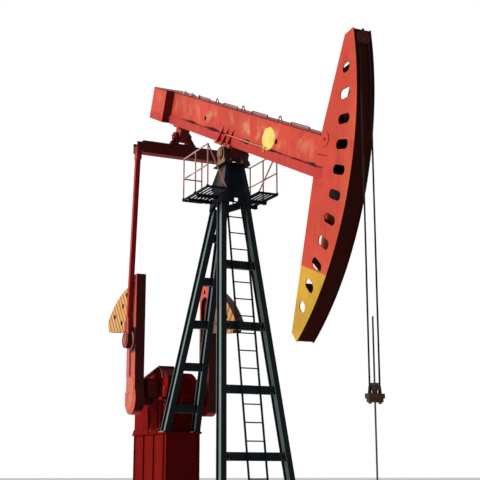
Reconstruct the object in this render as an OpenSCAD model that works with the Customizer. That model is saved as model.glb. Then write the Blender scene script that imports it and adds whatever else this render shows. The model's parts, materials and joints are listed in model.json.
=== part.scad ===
// Beam pumping unit, standing on its own skid. Units are millimetres.
// The origin is on the ground, straight below the pivot of the walking beam.
// +X points to the horsehead, +Z is up. The near side is -Y and the far side +Y.
// The beam is drawn at the bottom of its stroke, with the cranks straight up.

/* [Linkage] */
// Height of the beam pivot above the ground
pivot_h = 7070; // [6900:10:7300]
// Distance from the beam pivot to the centre of the hanging wire ropes
head_reach = 4507; // [4450:1:4560]
// Slope of the walking beam with the horsehead at its lowest
beam_tilt = 24; // [22:0.5:26]
// Distance from the pivot back to the tail bearing
tail_back = 2460; // [2400:5:2500]
// Height of the tail bearing above the pivot
tail_up = 1040; // [1010:5:1060]
// Distance from the pivot back to the crank shaft
shaft_back = 2780; // [2765:5:2820]
// Height of the crank shaft above the ground
shaft_h = 2852; // [2820:2:2880]
// Distance from the crank shaft to the crank pins
crank_throw = 1120; // [1090:5:1150]

/* [Walking beam] */
// Distance from the pivot axis up to the underside of the beam
beam_rise = 170; // [165:1:190]
// Depth of the beam over its flanges
beam_depth = 660; // [600:10:720]
// Width of the beam over its webs
beam_w = 302; // [280:2:320]
// Thickness of the webs
web_t = 14; // [10:1:20]
// Thickness of the top and bottom flanges
beam_flange_t = 20; // [14:1:28]
// How far the flanges stand out past the webs
flange_lip = 14; // [8:1:20]
// Height of the band plate along the foot of each web
band_h = 162; // [150:1:190]
// Thickness of the band plate
band_t = 26; // [16:1:30]
// Distance from the pivot to the rear end of the beam
beam_rear = 3900; // [3850:10:4000]
// Length of the widened box at the tail
tail_box_len = 780; // [700:10:850]
// Width of the widened box at the tail
tail_box_w = 640; // [560:10:700]
// Diameter of the lifting holes in the webs
web_hole_d = 90; // [60:5:120]
// Length of the saddle plate below the beam
saddle_len = 720; // [640:10:760]
// Width of the saddle plate
saddle_w = 490; // [460:10:500]
// Thickness of the saddle plate and of its gussets
saddle_t = 24; // [18:1:25]
// Height of the gussets up the sides of the beam
gusset_h = 310; // [260:10:360]
// Spacing of the gussets
gusset_gap = 235; // [210:5:250]

/* [Horsehead] */
// Angle of the arc above the line of the beam
arc_above = 33.1; // [32.5:0.1:34]
// Angle of the arc below the line of the beam
arc_below = 30.8; // [30:0.1:31.5]
// Depth of the head at its upper end
head_top_depth = 210; // [180:5:240]
// Depth of the head at its lower end
head_foot_depth = 200; // [180:5:240]
// Depth of the head from its curved edge back to the end of the beam
head_depth = 1087; // [1060:1:1120]
// Thickness of the side plates
head_plate_t = 14; // [10:1:20]
// Thickness of the curved face plate
face_t = 14; // [10:1:20]
// Number of lightening holes in each side plate
head_holes = 11; // [9:1:11]
// Angle from one lightening hole to the next
hole_pitch = 5.09; // [4.9:0.01:5.2]
// Distance from the edge of the head to the middle of the holes
hole_inset = 342; // [330:2:360]
// Height of each lightening hole along the arc
hole_w = 145; // [120:5:155]
// Length of the lightening hole in the middle of the head
hole_len_mid = 335; // [300:5:345]
// Length of the lightening holes at the ends of the head
hole_len_end = 190; // [170:5:220]

/* [Wire rope and carrier] */
// Diameter of the wire rope
rope_d = 28; // [24:1:30]
// Distance between the two falls of the rope
rope_gap = 160; // [140:2:180]
// Angle of the rope saddle above the line of the beam
saddle_angle = 31.2; // [30.8:0.1:31.4]
// Height of the top of the carrier bar above the ground at the lowest point
carrier_h = 2495; // [2450:5:2550]
// Width of the carrier bar
carrier_w = 250; // [240:5:270]
// Diameter of the polished rod
rod_d = 25; // [22:1:25]
// Height of the upper end of the polished rod
rod_top = 3540; // [3400:10:3540]
// Height of the lower end of the polished rod
rod_foot = 150; // [100:10:300]
// Diameter of the turned pin at the lower end of the polished rod
rod_pin_d = 21; // [18:0.5:21]
// Length of the turned pin
rod_pin_len = 60; // [50:1:70]

/* [Equalizer and pitmans] */
// Height of the equalizer beam
equalizer_h = 245; // [230:5:270]
// Width of the equalizer beam
equalizer_w = 200; // [180:5:220]
// Length of the equalizer beam across the unit
equalizer_len = 1960; // [1940:10:2000]
// Distance from the tail bearing axis down to the top of the equalizer
equalizer_drop = 200; // [190:2:215]
// Distance between the centre planes of the pitmans
pitman_gap = 1860; // [1850:2:1870]
// Side of the square pitman tube
pitman_s = 90; // [80:2:94]
// Outside diameter of the crank pin bearing
pin_bearing_d = 320; // [300:5:330]
// Width of the crank pin bearing
pin_bearing_w = 116; // [100:2:116]

/* [Cranks and counterweights] */
// Distance over the outer faces of the two cranks
crank_span = 1722; // [1716:1:1726]
// Thickness of each crank
crank_t = 185; // [170:5:190]
// Width of each crank arm
crank_w = 480; // [440:10:500]
// Distance from the shaft to the free end of the crank
crank_tip = 2395; // [2350:5:2420]
// Radius of the crank hub
hub_r = 300; // [270:5:330]
// Diameter of the crank shaft
shaft_d = 240; // [200:5:260]
// Diameter of the crank pin
pin_d = 120; // [100:5:140]
// Radius of the rim of the counterweight about the shaft
weight_r = 2215; // [2180:5:2250]
// Distance from the shaft to the flat foot of the counterweight
weight_foot = 1310; // [1290:5:1340]
// Reach of the counterweight out from the middle of the crank
weight_reach = 1455; // [1420:5:1490]
// Tilt of the far counterweight, in degrees
weight_tilt = 12; // [0:1:13]
// Thickness of the counterweight
weight_t = 170; // [150:5:180]

/* [Post] */
// Distance from the pivot axis down to the top of the post
post_top_drop = 200; // [190:2:220]
// Height of the plated head of the post
post_head_h = 730; // [700:10:760]
// Depth of the front leg section
leg_d = 200; // [180:5:210]
// Width of the front leg flanges
leg_w = 100; // [90:5:110]
// Depth of the rear leg section
rear_leg_d = 200; // [180:5:205]
// Width of the rear leg flanges
rear_leg_w = 110; // [100:5:120]
// Thickness of the leg flanges and webs
leg_t = 14; // [10:1:18]
// Distance of the front feet ahead of the pivot
front_foot_x = 1090; // [1040:10:1140]
// Distance between the middles of the front feet
front_foot_gap = 1405; // [1360:5:1450]
// Distance of the rear feet behind the pivot
rear_foot_x = 2330; // [2310:5:2335]
// Distance between the middles of the rear feet
rear_foot_gap = 620; // [580:10:640]
// Height of the front crossbars
crossbar_h = 140; // [120:5:160]
// Depth of the rear crossbars
rear_bar_h = 150; // [120:5:160]
// Height from the first front crossbar up to the pivot
front_bar_drop = 2075; // [2050:5:2100]
// Height from the first rear crossbar up to the pivot
rear_bar_drop = 1400; // [1380:5:1420]
// Spacing of the front crossbars
crossbar_gap = 1090; // [1050:10:1130]
// Spacing of the rear crossbars
rear_bar_gap = 755; // [740:5:765]

/* [Ladder] */
// Height from the first rung up to the pivot
rung_drop = 1200; // [1180:5:1220]
// Spacing of the rungs
rung_gap = 300; // [280:5:300]
// Diameter of the rungs
rung_d = 22; // [18:1:26]
// Distance between the middles of the side rails
ladder_w = 335; // [320:5:340]
// Depth of the side rails
ladder_rail_w = 50; // [40:2:60]
// Thickness of the side rails
ladder_rail_t = 16; // [12:1:18]

/* [Platforms] */
// Distance of the platform floor below the pivot
floor_drop = 750; // [730:5:770]
// Length of each platform along the beam
floor_len = 1140; // [1120:10:1160]
// Distance of the front end of the platform ahead of the pivot
floor_front = 440; // [420:5:450]
// Distance from the middle of the unit to the inner edge of the floor
floor_inner = 300; // [296:1:304]
// Width of the platform
floor_w = 390; // [360:10:410]
// Height of the handrail above the floor
rail_h = 760; // [740:5:780]
// Diameter of the handrail pipe
rail_d = 26; // [22:1:32]

/* [Base and drive] */
// Height of the skid beams
skid_h = 300; // [260:10:320]
// Width of the skid beams over their flanges
skid_w = 180; // [160:10:200]
// Distance between the middles of the skid beams
skid_gap = 860; // [820:10:900]
// Distance of the rear end of the skid behind the pivot
skid_rear = 5500; // [5450:10:5600]
// Distance of the front end of the skid ahead of the pivot
skid_front = 1500; // [1480:10:1560]
// Height of the crank shaft above the top of the reducer stool
shaft_rise = 632; // [625:1:640]
// Distance from the crank shaft back to the input shaft
input_back = 950; // [940:5:960]
// Radius of the case round the large gear
gear_case_r = 525; // [510:5:535]
// Height of the cover's ridge above the crank shaft
ridge_h = 642; // [620:2:660]
// Distance of the ridge in front of the crank shaft
ridge_x = 128; // [100:2:150]
// Reach of the cover in front of the crank shaft
cover_front = 606; // [590:2:620]
// Reach of the cover behind the crank shaft
cover_rear = 687; // [660:2:700]
// Distance of the motor shaft behind the pivot
motor_back = 4980; // [4960:5:5000]
// Width of the reducer housing
reducer_w = 840; // [800:10:860]
// Radius of the belt sheave on the reducer
sheave_r = 420; // [380:10:440]
// Radius of the belt sheave on the motor
motor_sheave_r = 130; // [110:5:150]
// Number of drive belts
belts = 4; // [3:1:4]

/* [Hidden] */
// Running clearance of a shaft in its bearing
run_gap = 0.05;
// Gap that keeps curved or sliding neighbours apart
seat_gap = 0.3;
// Gap between the crank pin and its bearing, where the linkage is open
open_gap = 6;

leg_top_x = 30;
leg_top_y = 230;
rear_top_x = -600;
rear_top_y = 82;
head_root = head_reach - head_depth;
head_back_t = 14;
back_plate_top = 1200;
head_rib_t = 12;
beam_top = beam_rise + beam_depth;
face_r = head_reach - rope_d / 2;
head_bottom = -head_reach * sin(arc_below);
hole_r = head_reach - hole_inset;
crank_outer = crank_span / 2;
crank_inner = crank_outer - crank_t;
pitman_y = pitman_gap / 2;
pin_bearing_y = pitman_y - pin_bearing_w / 2;
tail_h = pivot_h + tail_up;
pin_h = shaft_h + crank_throw;
post_top = pivot_h - post_top_drop;
post_top_y = 180;
post_foot_y = 300;
head_foot = post_top - post_head_h;
floor_h = pivot_h - floor_drop;
stool_top = shaft_h - shaft_rise;
stool_rear = -shaft_back - input_back - 230;
stool_front = -rear_foot_x + 160;
motor_x = -motor_back;
rail_gap = 280;
slope = (front_foot_x - leg_top_x) / (head_foot - skid_h);
ladder_x = 50 + slope * crossbar_h / 2 + (seat_gap + ladder_rail_w / 2) * sqrt(1 + slope * slope) + seat_gap;
motor_h = skid_h + 120 + 260;
belt_y = 530;
tail_shaft_d = 120;
saddle_shaft_d = 150;
weight_turn_h = 1600;
bearing_out = 240;
bearing_in = 110;

$fn = 48;

// A plate whose outline lies in the XZ plane, from y0 to y0 + t
module plate_xz(y0, t) {
    translate([0, y0 + t, 0]) rotate([90, 0, 0]) linear_extrude(t) children();
}

// A bar whose section lies in the YZ plane, from x0 to x0 + len
module bar_x(x0, len) {
    translate([x0, 0, 0]) rotate([90, 0, 90]) linear_extrude(len) children();
}

// A round bar along Y from y0 to y1, centred at x, z
module round_y(x, z, d, y0, y1) {
    translate([x, y1, z]) rotate([90, 0, 0]) cylinder(d = d, h = y1 - y0);
}

// The children and their mirror image on the other side
module both_sides() {
    children();
    mirror([0, 1, 0]) children();
}

// The frame of the walking beam: x along the beam, z square to it, origin at the pivot
module on_beam() {
    translate([0, 0, pivot_h]) rotate([0, beam_tilt, 0]) children();
}

// A ring section swept about the pivot from angle a0 to a1 above the line of the beam
module about_pivot(a0, a1) {
    rotate([90, 0, 0]) rotate([0, 0, a0]) rotate_extrude(angle = a1 - a0, $fn = 360) children();
}

// An I section, depth along x and flanges along y
module i_section(depth, width, t) {
    square([depth, t], center = true);
    for (s = [-1, 1]) {
        translate([s * (depth - t) / 2, 0]) square([t, width], center = true);
    }
}

// A leg with an I section from the point p to the point q, cut level at both ends
module leg(p, q, depth, width, t) {
    run = q - p;
    long = norm(run);
    dir = run / long;
    spare = 2 * depth;
    intersection() {
        translate(p - dir * spare)
            rotate([-asin(dir[1]), atan2(dir[0], dir[2]), 0])
                linear_extrude(long + 2 * spare) i_section(depth, width, t);
        translate([-5000, -5000, min(p[2], q[2])]) cube([10000, 10000, abs(run[2])]);
    }
}

// A round pipe from the point p to the point q
module pipe(p, q, d) {
    run = q - p;
    long = norm(run);
    translate(p) rotate([0, acos(run[2] / long), atan2(run[1], run[0])])
        cylinder(d = d, h = long, $fn = 12);
}

// The belt line round two circles: circles r1 and r2 with their outer tangents
module belt_line(c1, r1, c2, r2) {
    run = c2 - c1;
    lean = atan2(run[1], run[0]);
    open = acos((r1 - r2) / norm(run));
    translate(c1) circle(r1, $fn = 96);
    translate(c2) circle(r2, $fn = 96);
    polygon([
        c1 + r1 * [cos(lean + open), sin(lean + open)],
        c1 + r1 * [cos(lean - open), sin(lean - open)],
        c2 + r2 * [cos(lean - open), sin(lean - open)],
        c2 + r2 * [cos(lean + open), sin(lean + open)]
    ]);
}

// Base

// One skid beam or crossbeam: an I section standing up, from x0 to x0 + len
module skid_bar(x0, len) {
    bar_x(x0, len) {
        rotate(90) translate([skid_h / 2, 0]) i_section(skid_h, skid_w, 16);
    }
}

module skid_base() {
    cross_w = 160;
    cross_x = [motor_x - rail_gap, motor_x + rail_gap, stool_rear + 60, stool_front - 160,
        stool_front / 2 - 65, 0, front_foot_x];
    color("dimgray") {
        both_sides() translate([0, skid_gap / 2, 0]) skid_bar(-skid_rear, skid_rear + skid_front);
        for (x = cross_x) {
            half = x > 0 ? front_foot_gap / 2 + 120 : (skid_gap - skid_w) / 2 + 20;
            translate([x - cross_w / 2, -half, 0]) cube([cross_w, 2 * half, skid_h]);
        }
        // Rails that carry the motor
        for (x = [motor_x - rail_gap, motor_x + rail_gap]) {
            translate([x - cross_w / 2, -skid_gap / 2, skid_h - 1]) cube([cross_w, skid_gap, 121]);
        }
    }
}

// Post

function front_leg_at(z) = let (k = (head_foot - z) / (head_foot - skid_h))
    [leg_top_x + k * (front_foot_x - leg_top_x), leg_top_y + k * (front_foot_gap / 2 - leg_top_y), z];

function rear_leg_at(z) = let (k = (head_foot - z) / (head_foot - stool_top))
    [rear_top_x - k * (rear_foot_x + rear_top_x), rear_top_y + k * (rear_foot_gap / 2 - rear_top_y), z];

module post_front_frame() {
    first = pivot_h - front_bar_drop;
    foot_t = 20;
    color("darkslategray") {
        both_sides() leg(front_leg_at(skid_h + foot_t), front_leg_at(head_foot), leg_d, leg_w, leg_t);
        for (k = [0 : floor((first - skid_h - 100) / crossbar_gap)]) {
            z = first - k * crossbar_gap;
            at = front_leg_at(z);
            translate([at[0] - 50, -at[1], z - crossbar_h / 2]) cube([100, 2 * at[1], crossbar_h]);
        }
        both_sides() translate([front_foot_x - 130, front_foot_gap / 2 - 110, skid_h]) cube([260, 220, foot_t]);
    }
}

module post_rear_frame() {
    first = pivot_h - rear_bar_drop;
    foot_t = 20;
    color("darkslategray") {
        both_sides() leg(rear_leg_at(stool_top + foot_t), rear_leg_at(head_foot), rear_leg_d, rear_leg_w, leg_t);
        for (k = [0 : floor((first - stool_top - 100) / rear_bar_gap)]) {
            z = first - k * rear_bar_gap;
            at = rear_leg_at(z);
            translate([at[0] - 50, -at[1], z - rear_bar_h / 2]) cube([100, 2 * at[1], rear_bar_h]);
        }
        both_sides() translate([-rear_foot_x - 110, rear_foot_gap / 2 - 80, stool_top]) cube([220, 160, foot_t]);
    }
}

// The front view of the post head, and of what is cut to seat on it, from x0 to x1
module head_front_view(x0, x1, wall) {
    bar_x(x0, x1 - x0) polygon([
        [-post_foot_y + wall, head_foot], [post_foot_y - wall, head_foot],
        [post_top_y - wall, post_top], [-post_top_y + wall, post_top]
    ]);
}

// The body of the post head, shrunk by the wall: full at the front, narrow at the rear legs
module head_body(wall, top) {
    rear_y = rear_top_y + rear_leg_w / 2 + 20;
    intersection() {
        head_front_view(-1000, 1000, wall);
        plate_xz(-500, 1000) polygon([
            [-700 + wall, head_foot - (wall > 0 ? 1 : 0)], [175 - wall, head_foot - (wall > 0 ? 1 : 0)],
            [100 - wall, top], [-220 + wall, top]
        ]);
        translate([0, 0, head_foot - 10]) linear_extrude(post_head_h + 20) polygon([
            [-700, -rear_y + wall], [-120, -post_foot_y + wall], [400, -post_foot_y + wall],
            [400, post_foot_y - wall], [-120, post_foot_y - wall], [-700, rear_y - wall]
        ]);
    }
}

module post_head() {
    wall = 16;
    top_t = 19;
    color("darkslategray") {
        difference() {
            head_body(0, post_top);
            // The inside is open below, between the four walls
            head_body(wall, post_top - top_t);
            // Openings through both side walls
            translate([-560, -400, head_foot + 140]) cube([260, 800, 200]);
            // The window through the front and rear of the head
            translate([-1000, -50, head_foot + 25]) cube([2000, 100, 65]);
        }
        translate([-290, -258, post_top - top_t]) cube([480, 516, top_t]);
        // Seats of the legs
        both_sides() {
            translate([leg_top_x - 110, leg_top_y - 60, head_foot]) cube([220, 74, wall]);
            translate([rear_top_x - 85, rear_top_y - 50, head_foot]) cube([170, 100, wall]);
        }
    }
}

module saddle_bearings() {
    r = beam_rise - saddle_t - 11;
    color("tan") both_sides() difference() {
        union() {
            round_y(0, pivot_h, 2 * r, bearing_in, bearing_out);
            translate([-r, bearing_in, post_top + 40]) cube([2 * r, bearing_out - bearing_in, post_top_drop - 40]);
            translate([-190, bearing_in - 10, post_top]) cube([380, bearing_out - bearing_in + 20, 41]);
        }
        round_y(0, pivot_h, saddle_shaft_d + 2 * run_gap, 0, 400);
    }
}

// Ladder

module ladder() {
    first = pivot_h - rung_drop;
    rungs = floor((first - skid_h - 150) / rung_gap);
    color("darkslategray") {
        // The ladder hangs on the front faces of the crossbars
        both_sides() {
            top = front_leg_at(first + 250);
            low = front_leg_at(skid_h + 60);
            leg([low[0] + ladder_x, ladder_w / 2, low[2]],
                [top[0] + ladder_x, ladder_w / 2, top[2]], ladder_rail_w, ladder_rail_t, ladder_rail_t);
        }
        for (k = [0 : rungs]) {
            z = first - k * rung_gap;
            round_y(front_leg_at(z)[0] + ladder_x, z, rung_d, -ladder_w / 2, ladder_w / 2);
        }
    }
}

// Platforms

module platform() {
    edge = 40;
    bar_gap = 70;
    bar_t = 8;
    rear = floor_front - floor_len;
    outer = floor_inner + floor_w;
    color("darkslategray") {
        difference() {
            translate([rear, floor_inner, floor_h - edge]) cube([floor_len, floor_w, edge]);
            translate([rear + 8, floor_inner + 8, floor_h - edge - 1])
                cube([floor_len - 16, floor_w - 16, edge + 2]);
        }
        for (y = [floor_inner + bar_gap : bar_gap : outer - bar_gap / 2]) {
            translate([rear + 4, y - bar_t / 2, floor_h - 30]) cube([floor_len - 8, bar_t, 30]);
        }
        // Brackets that reach from the head of the post to the outer edge
        difference() {
            for (x = [-440, -60]) {
                translate([x, 150, floor_h - edge - 60]) cube([50, outer - 150, 60]);
            }
            head_body(-seat_gap, post_top);
        }
    }
}

module near_platform() {
    mirror([0, 1, 0]) platform();
}

module far_platform() {
    platform();
}

module handrail() {
    outer = floor_inner + floor_w - rail_d / 2;
    inner = floor_inner + 20;
    x0 = floor_front - floor_len + rail_d;
    x2 = floor_front - rail_d;
    xm = (x0 + x2) / 2;
    top = floor_h + rail_h;
    mid = floor_h + rail_h / 2;
    color("mistyrose") {
        for (x = [x0, xm, x2]) {
            pipe([x, outer, floor_h], [x, outer, top], rail_d);
        }
        for (z = [mid, top]) {
            pipe([x0, outer, z], [x2, outer, z], rail_d);
            pipe([x0, inner, z], [x0, outer, z], rail_d);
        }
        pipe([x0, inner, floor_h], [x0, inner, top], rail_d);
        pipe([x2, inner, floor_h], [x2, outer, top], rail_d);
    }
}

module near_handrail() {
    mirror([0, 1, 0]) handrail();
}

module far_handrail() {
    handrail();
}

// Reducer and drive

module reducer_stool() {
    half = 380;
    plate = 24;
    front = stool_front;
    rear = stool_rear;
    high = stool_top - skid_h;
    color("darkred") {
        translate([rear, -half, stool_top - plate]) cube([front - rear, 2 * half, plate]);
        translate([rear, -half, skid_h]) cube([front - rear, 2 * half, plate]);
        both_sides() translate([rear + 20, half - 60, skid_h]) cube([front - rear - 40, plate, high]);
        for (x = [rear + 40, -shaft_back - 300, front - 70]) {
            translate([x, -half + 50, skid_h]) cube([plate, 2 * half - 100, high]);
        }
    }
}

module reducer_housing() {
    foot_t = 50;
    body_r = 430;
    rear = -shaft_back - input_back - 160;
    front = -shaft_back + 360;
    split_t = 60;
    side = reducer_w / 2;
    color("firebrick") difference() {
        union() {
            // The near half ends in a gable below the cover
            translate([-shaft_back, 0, shaft_h]) plate_xz(-300, 300) polygon([
                [-cover_rear + 60, -body_r], [-cover_rear + 60, cover_line(-cover_rear + 60)],
                [ridge_x, cover_line(ridge_x)], [cover_front - 50, cover_line(cover_front - 50)],
                [450, 0], [360, -body_r]
            ]);
            // The case is deeper round the large gear, beside the cover
            round_y(-shaft_back, shaft_h, 2 * gear_case_r, -20, side - 60);
            round_y(-shaft_back - input_back, shaft_h, 360, -side + 60, side - 60);
            translate([rear + 20, -side + 60, stool_top]) cube([-shaft_back - 300 - rear, reducer_w - 120, shaft_h - stool_top]);
            translate([-shaft_back - input_back, -side + 60, shaft_h]) cube([input_back, reducer_w - 120, 180]);
            translate([-shaft_back - 320, -side + 60, stool_top]) cube([640, reducer_w - 120, shaft_h - stool_top]);
            translate([rear, -side + 30, stool_top]) cube([-shaft_back + 330 - rear, reducer_w - 60, foot_t]);
            // Bolted flange on the line of the shafts
            translate([rear, -side + 30, shaft_h - split_t / 2]) cube([front + 110 - rear, reducer_w - 60, split_t]);
            // Bearing caps
            both_sides() {
                round_y(-shaft_back, shaft_h, 460, 0, side);
                round_y(-shaft_back - input_back, shaft_h, 240, 0, side - 20);
                for (x = [-shaft_back - 250, -shaft_back + 210]) {
                    translate([x, side - 60, stool_top]) cube([40, 50, shaft_h - stool_top]);
                }
            }
        }
        round_y(-shaft_back, shaft_h, shaft_d + 2 * run_gap, -reducer_w, reducer_w);
    }
}

// The underside of the cover, above the crank shaft
function cover_line(x) = x < ridge_x
    ? ridge_h - 45 - (ridge_x - x) * (ridge_h - 480) / (ridge_x + cover_rear)
    : ridge_h - 45 - (x - ridge_x) * (ridge_h - 422) / (cover_front - ridge_x);

module reducer_cover() {
    near = -330;
    far = -30;
    color("maroon") translate([-shaft_back, 0, shaft_h]) plate_xz(near, far - near) polygon([
        [-cover_rear, 480], [-cover_rear, cover_line(-cover_rear) + seat_gap],
        [ridge_x, cover_line(ridge_x) + seat_gap], [cover_front, cover_line(cover_front) + seat_gap],
        [cover_front, 422], [ridge_x, ridge_h]
    ]);
}

// A grooved sheave about a Y axis, from y0 to y1
module sheave(x, z, r, y0, y1, hub_d) {
    pitch = (y1 - y0) / belts;
    difference() {
        round_y(x, z, 2 * r, y0, y1);
        for (k = [0 : belts - 1]) {
            translate([x, y0 + (k + 0.5) * pitch, z]) rotate([90, 0, 0]) difference() {
                cylinder(r = r + 1, h = 18, center = true, $fn = 96);
                cylinder(r = r - 16, h = 20, center = true, $fn = 96);
            }
        }
    }
}

module reducer_sheave() {
    y0 = belt_y - 60;
    y1 = belt_y + 60;
    x = -shaft_back - input_back;
    color("black") {
        difference() {
            sheave(x, shaft_h, sheave_r, y0, y1, 160);
            for (k = [0 : 4]) {
                translate([x + 0.6 * sheave_r * cos(72 * k), 0, shaft_h + 0.6 * sheave_r * sin(72 * k)])
                    round_y(0, 0, 0.42 * sheave_r, y0 - 5, y1 + 5);
            }
        }
        round_y(x, shaft_h, 110, reducer_w / 2 - 20, y0 + 1);
    }
}

module drive_belts() {
    x1 = -shaft_back - input_back;
    pitch = 120 / belts;
    color("black") for (k = [0 : belts - 1]) {
        plate_xz(belt_y - 60 + (k + 0.5) * pitch - 8, 16) difference() {
            belt_line([x1, shaft_h], sheave_r + 2, [motor_x, motor_h], motor_sheave_r + 2);
            belt_line([x1, shaft_h], sheave_r - 15.5, [motor_x, motor_h], motor_sheave_r - 15.5);
        }
    }
}

module motor_sheave() {
    color("black") {
        sheave(motor_x, motor_h, motor_sheave_r, belt_y - 60, belt_y + 60, 80);
        round_y(motor_x, motor_h, 70, 330, belt_y - 59);
    }
}

module motor() {
    r = 215;
    fin = 24;
    color("steelblue") {
        round_y(motor_x, motor_h, 2 * r, -300, 300);
        round_y(motor_x, motor_h, 2 * r + 30, 270, 330);
        round_y(motor_x, motor_h, 2 * r + 30, -420, -270);
        for (k = [0 : 19]) {
            translate([motor_x, 0, motor_h]) rotate([0, 18 * k + 9, 0])
                translate([-4, -275, r - 5]) cube([8, 550, fin + 5]);
        }
        translate([motor_x + r - 20, -110, motor_h - 90]) cube([110, 220, 180]);
        for (x = [-rail_gap, rail_gap - 80]) {
            translate([motor_x + x, -220, skid_h + 120]) cube([80, 440, 40]);
        }
        translate([motor_x - 150, -200, skid_h + 130]) cube([300, 400, motor_h - skid_h - 300]);
    }
}

// Ropes and carrier

module hanging_ropes() {
    socket_top = carrier_h + 100;
    color("dimgray") both_sides() translate([head_reach, rope_gap / 2, socket_top + seat_gap])
        cylinder(d = rope_d, h = pivot_h - 1 - socket_top);
}

module rope_sockets() {
    color("dimgray") both_sides() translate([head_reach, rope_gap / 2, carrier_h])
        rotate_extrude() polygon([[0, 0], [25, 0], [25, 20], [rope_d / 2 + 3, 100], [0, 100]]);
}

module carrier_bars() {
    color("saddlebrown") difference() {
        union() {
            translate([head_reach - 55, -carrier_w / 2, carrier_h - 65]) cube([110, carrier_w, 65]);
            translate([head_reach - 40, -carrier_w / 2 + 15, carrier_h - 115]) cube([80, carrier_w - 30, 51]);
        }
        translate([head_reach, 0, 0]) cylinder(d = rod_d + 2 * run_gap, h = pivot_h);
    }
}

module rod_clamp() {
    color("gray") difference() {
        union() {
            translate([head_reach, 0, carrier_h]) cylinder(d = 76, h = 45);
            translate([head_reach - 40, -53, carrier_h + 45]) cube([80, 106, 97]);
        }
        translate([head_reach, 0, 0]) cylinder(d = rod_d + 2 * run_gap, h = pivot_h);
    }
}

module polished_rod() {
    color("silver") translate([head_reach, 0, rod_foot]) {
        cylinder(d = rod_pin_d, h = rod_pin_len + 1);
        translate([0, 0, rod_pin_len]) cylinder(d = rod_d, h = rod_top - rod_foot - rod_pin_len);
    }
}

module rope_saddle() {
    ring_r = rope_gap / 2 - rope_d / 2 - seat_gap;
    color("firebrick") on_beam() rotate([0, -saddle_angle, 0]) translate([face_r, 0, 0]) rotate([0, 90, 0]) {
        difference() {
            union() {
                cylinder(r = ring_r, h = rope_d + 1);
                translate([0, 0, rope_d + 1]) cylinder(r = ring_r + 46, h = 8);
                translate([-ring_r - 76, -18, rope_d + 1]) cube([50, 36, 8]);
            }
            // The middle of the casting is hollow
            translate([0, 0, 6]) cylinder(r = 50, h = rope_d + 10);
        }
    }
}

module rope_wrap() {
    color("dimgray") on_beam() {
        both_sides() about_pivot(beam_tilt, saddle_angle)
            translate([head_reach, rope_gap / 2]) circle(d = rope_d, $fn = 12);
        rotate([0, -saddle_angle, 0]) translate([head_reach, 0, 0]) rotate([0, 90, 0]) rotate([0, 0, 90])
            rotate_extrude(angle = 180) translate([rope_gap / 2, 0]) circle(d = rope_d, $fn = 12);
    }
}

// Walking beam

module beam_girder() {
    len = head_root + beam_rear - tail_box_len;
    inner = beam_w - 2 * web_t;
    rear = -(beam_rear - tail_box_len);
    color("orangered") on_beam() {
        difference() {
            bar_x(rear, len) difference() {
                union() {
                    translate([-beam_w / 2, beam_rise]) square([beam_w, beam_depth]);
                    for (z = [beam_rise, beam_top - beam_flange_t]) {
                        translate([-beam_w / 2 - flange_lip, z]) square([beam_w + 2 * flange_lip, beam_flange_t]);
                    }
                    // Band plates along the foot of the webs
                    translate([-beam_w / 2 - band_t, beam_rise]) square([beam_w + 2 * band_t, band_h]);
                }
                translate([-inner / 2, beam_rise + beam_flange_t])
                    square([inner, beam_depth - 2 * beam_flange_t]);
            }
            for (x = [-1227, 1950]) {
                round_y(x, beam_rise + beam_depth / 2, web_hole_d, -beam_w, beam_w);
            }
        }
    }
}

module beam_tail_box() {
    wall = 16;
    color("orangered") on_beam() {
        difference() {
            translate([-beam_rear, -tail_box_w / 2, beam_rise])
                cube([tail_box_len, tail_box_w, beam_depth]);
            // The box is open at the rear, behind a recessed end plate
            translate([-beam_rear - 1, -tail_box_w / 2 + wall, beam_rise + wall])
                cube([60, tail_box_w - 2 * wall, beam_depth - 2 * wall]);
        }
    }
}

module beam_gussets() {
    middle = -50;
    low = beam_rise - saddle_t;
    out = saddle_w / 2;
    web = beam_w / 2 + band_t;
    color("orangered") on_beam() {
        translate([middle - saddle_len / 2, -out, low]) cube([saddle_len, saddle_w, saddle_t]);
        both_sides() for (k = [-1 : 1]) {
            bar_x(middle + k * gusset_gap - saddle_t / 2, saddle_t) polygon([
                [web, beam_rise], [out, beam_rise], [out, beam_rise + 30],
                [beam_w / 2, beam_rise + gusset_h], [beam_w / 2, beam_rise + band_h], [web, beam_rise + band_h]
            ]);
        }
        // The block that grips the saddle shaft between the two bearings
        difference() {
            translate([-130, -bearing_in + 10, -110]) cube([260, 2 * bearing_in - 20, 110 + low]);
            round_y(0, 0, saddle_shaft_d + 2 * run_gap, -200, 200);
        }
    }
}

module saddle_shaft() {
    color("gray") round_y(0, pivot_h, saddle_shaft_d, -bearing_out - 12, bearing_out + 12);
}

// The tail bearing axis in the frame of the beam
function tail_a() = -tail_back * cos(beam_tilt) - tail_up * sin(beam_tilt);
function tail_n() = -tail_back * sin(beam_tilt) + tail_up * cos(beam_tilt);

// One block below the beam, between the two pedestals of the equalizer
module tail_bracket() {
    plate_t = 25;
    block = 95;
    half = 170;
    color("firebrick") on_beam() difference() {
        union() {
            translate([tail_a() - half, -162, beam_rise - plate_t]) cube([2 * half, 324, plate_t]);
            plate_xz(-block, 2 * block) union() {
                translate([tail_a(), tail_n()]) circle(r = 110);
                polygon([
                    [tail_a() - half + 20, beam_rise - plate_t + 1], [tail_a() + half - 20, beam_rise - plate_t + 1],
                    [tail_a() + 109, tail_n()], [tail_a() - 109, tail_n()]
                ]);
            }
        }
        round_y(tail_a(), tail_n(), tail_shaft_d + 2 * run_gap, -400, 400);
    }
}

module tail_shaft() {
    color("gray") round_y(-tail_back, tail_h, tail_shaft_d, -175, 175);
}

// Horsehead

// Half the height of the beam joint and the back edge of the head, in the frame of the beam
function on_arc(r, a) = r * [cos(a), sin(a)];
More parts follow.
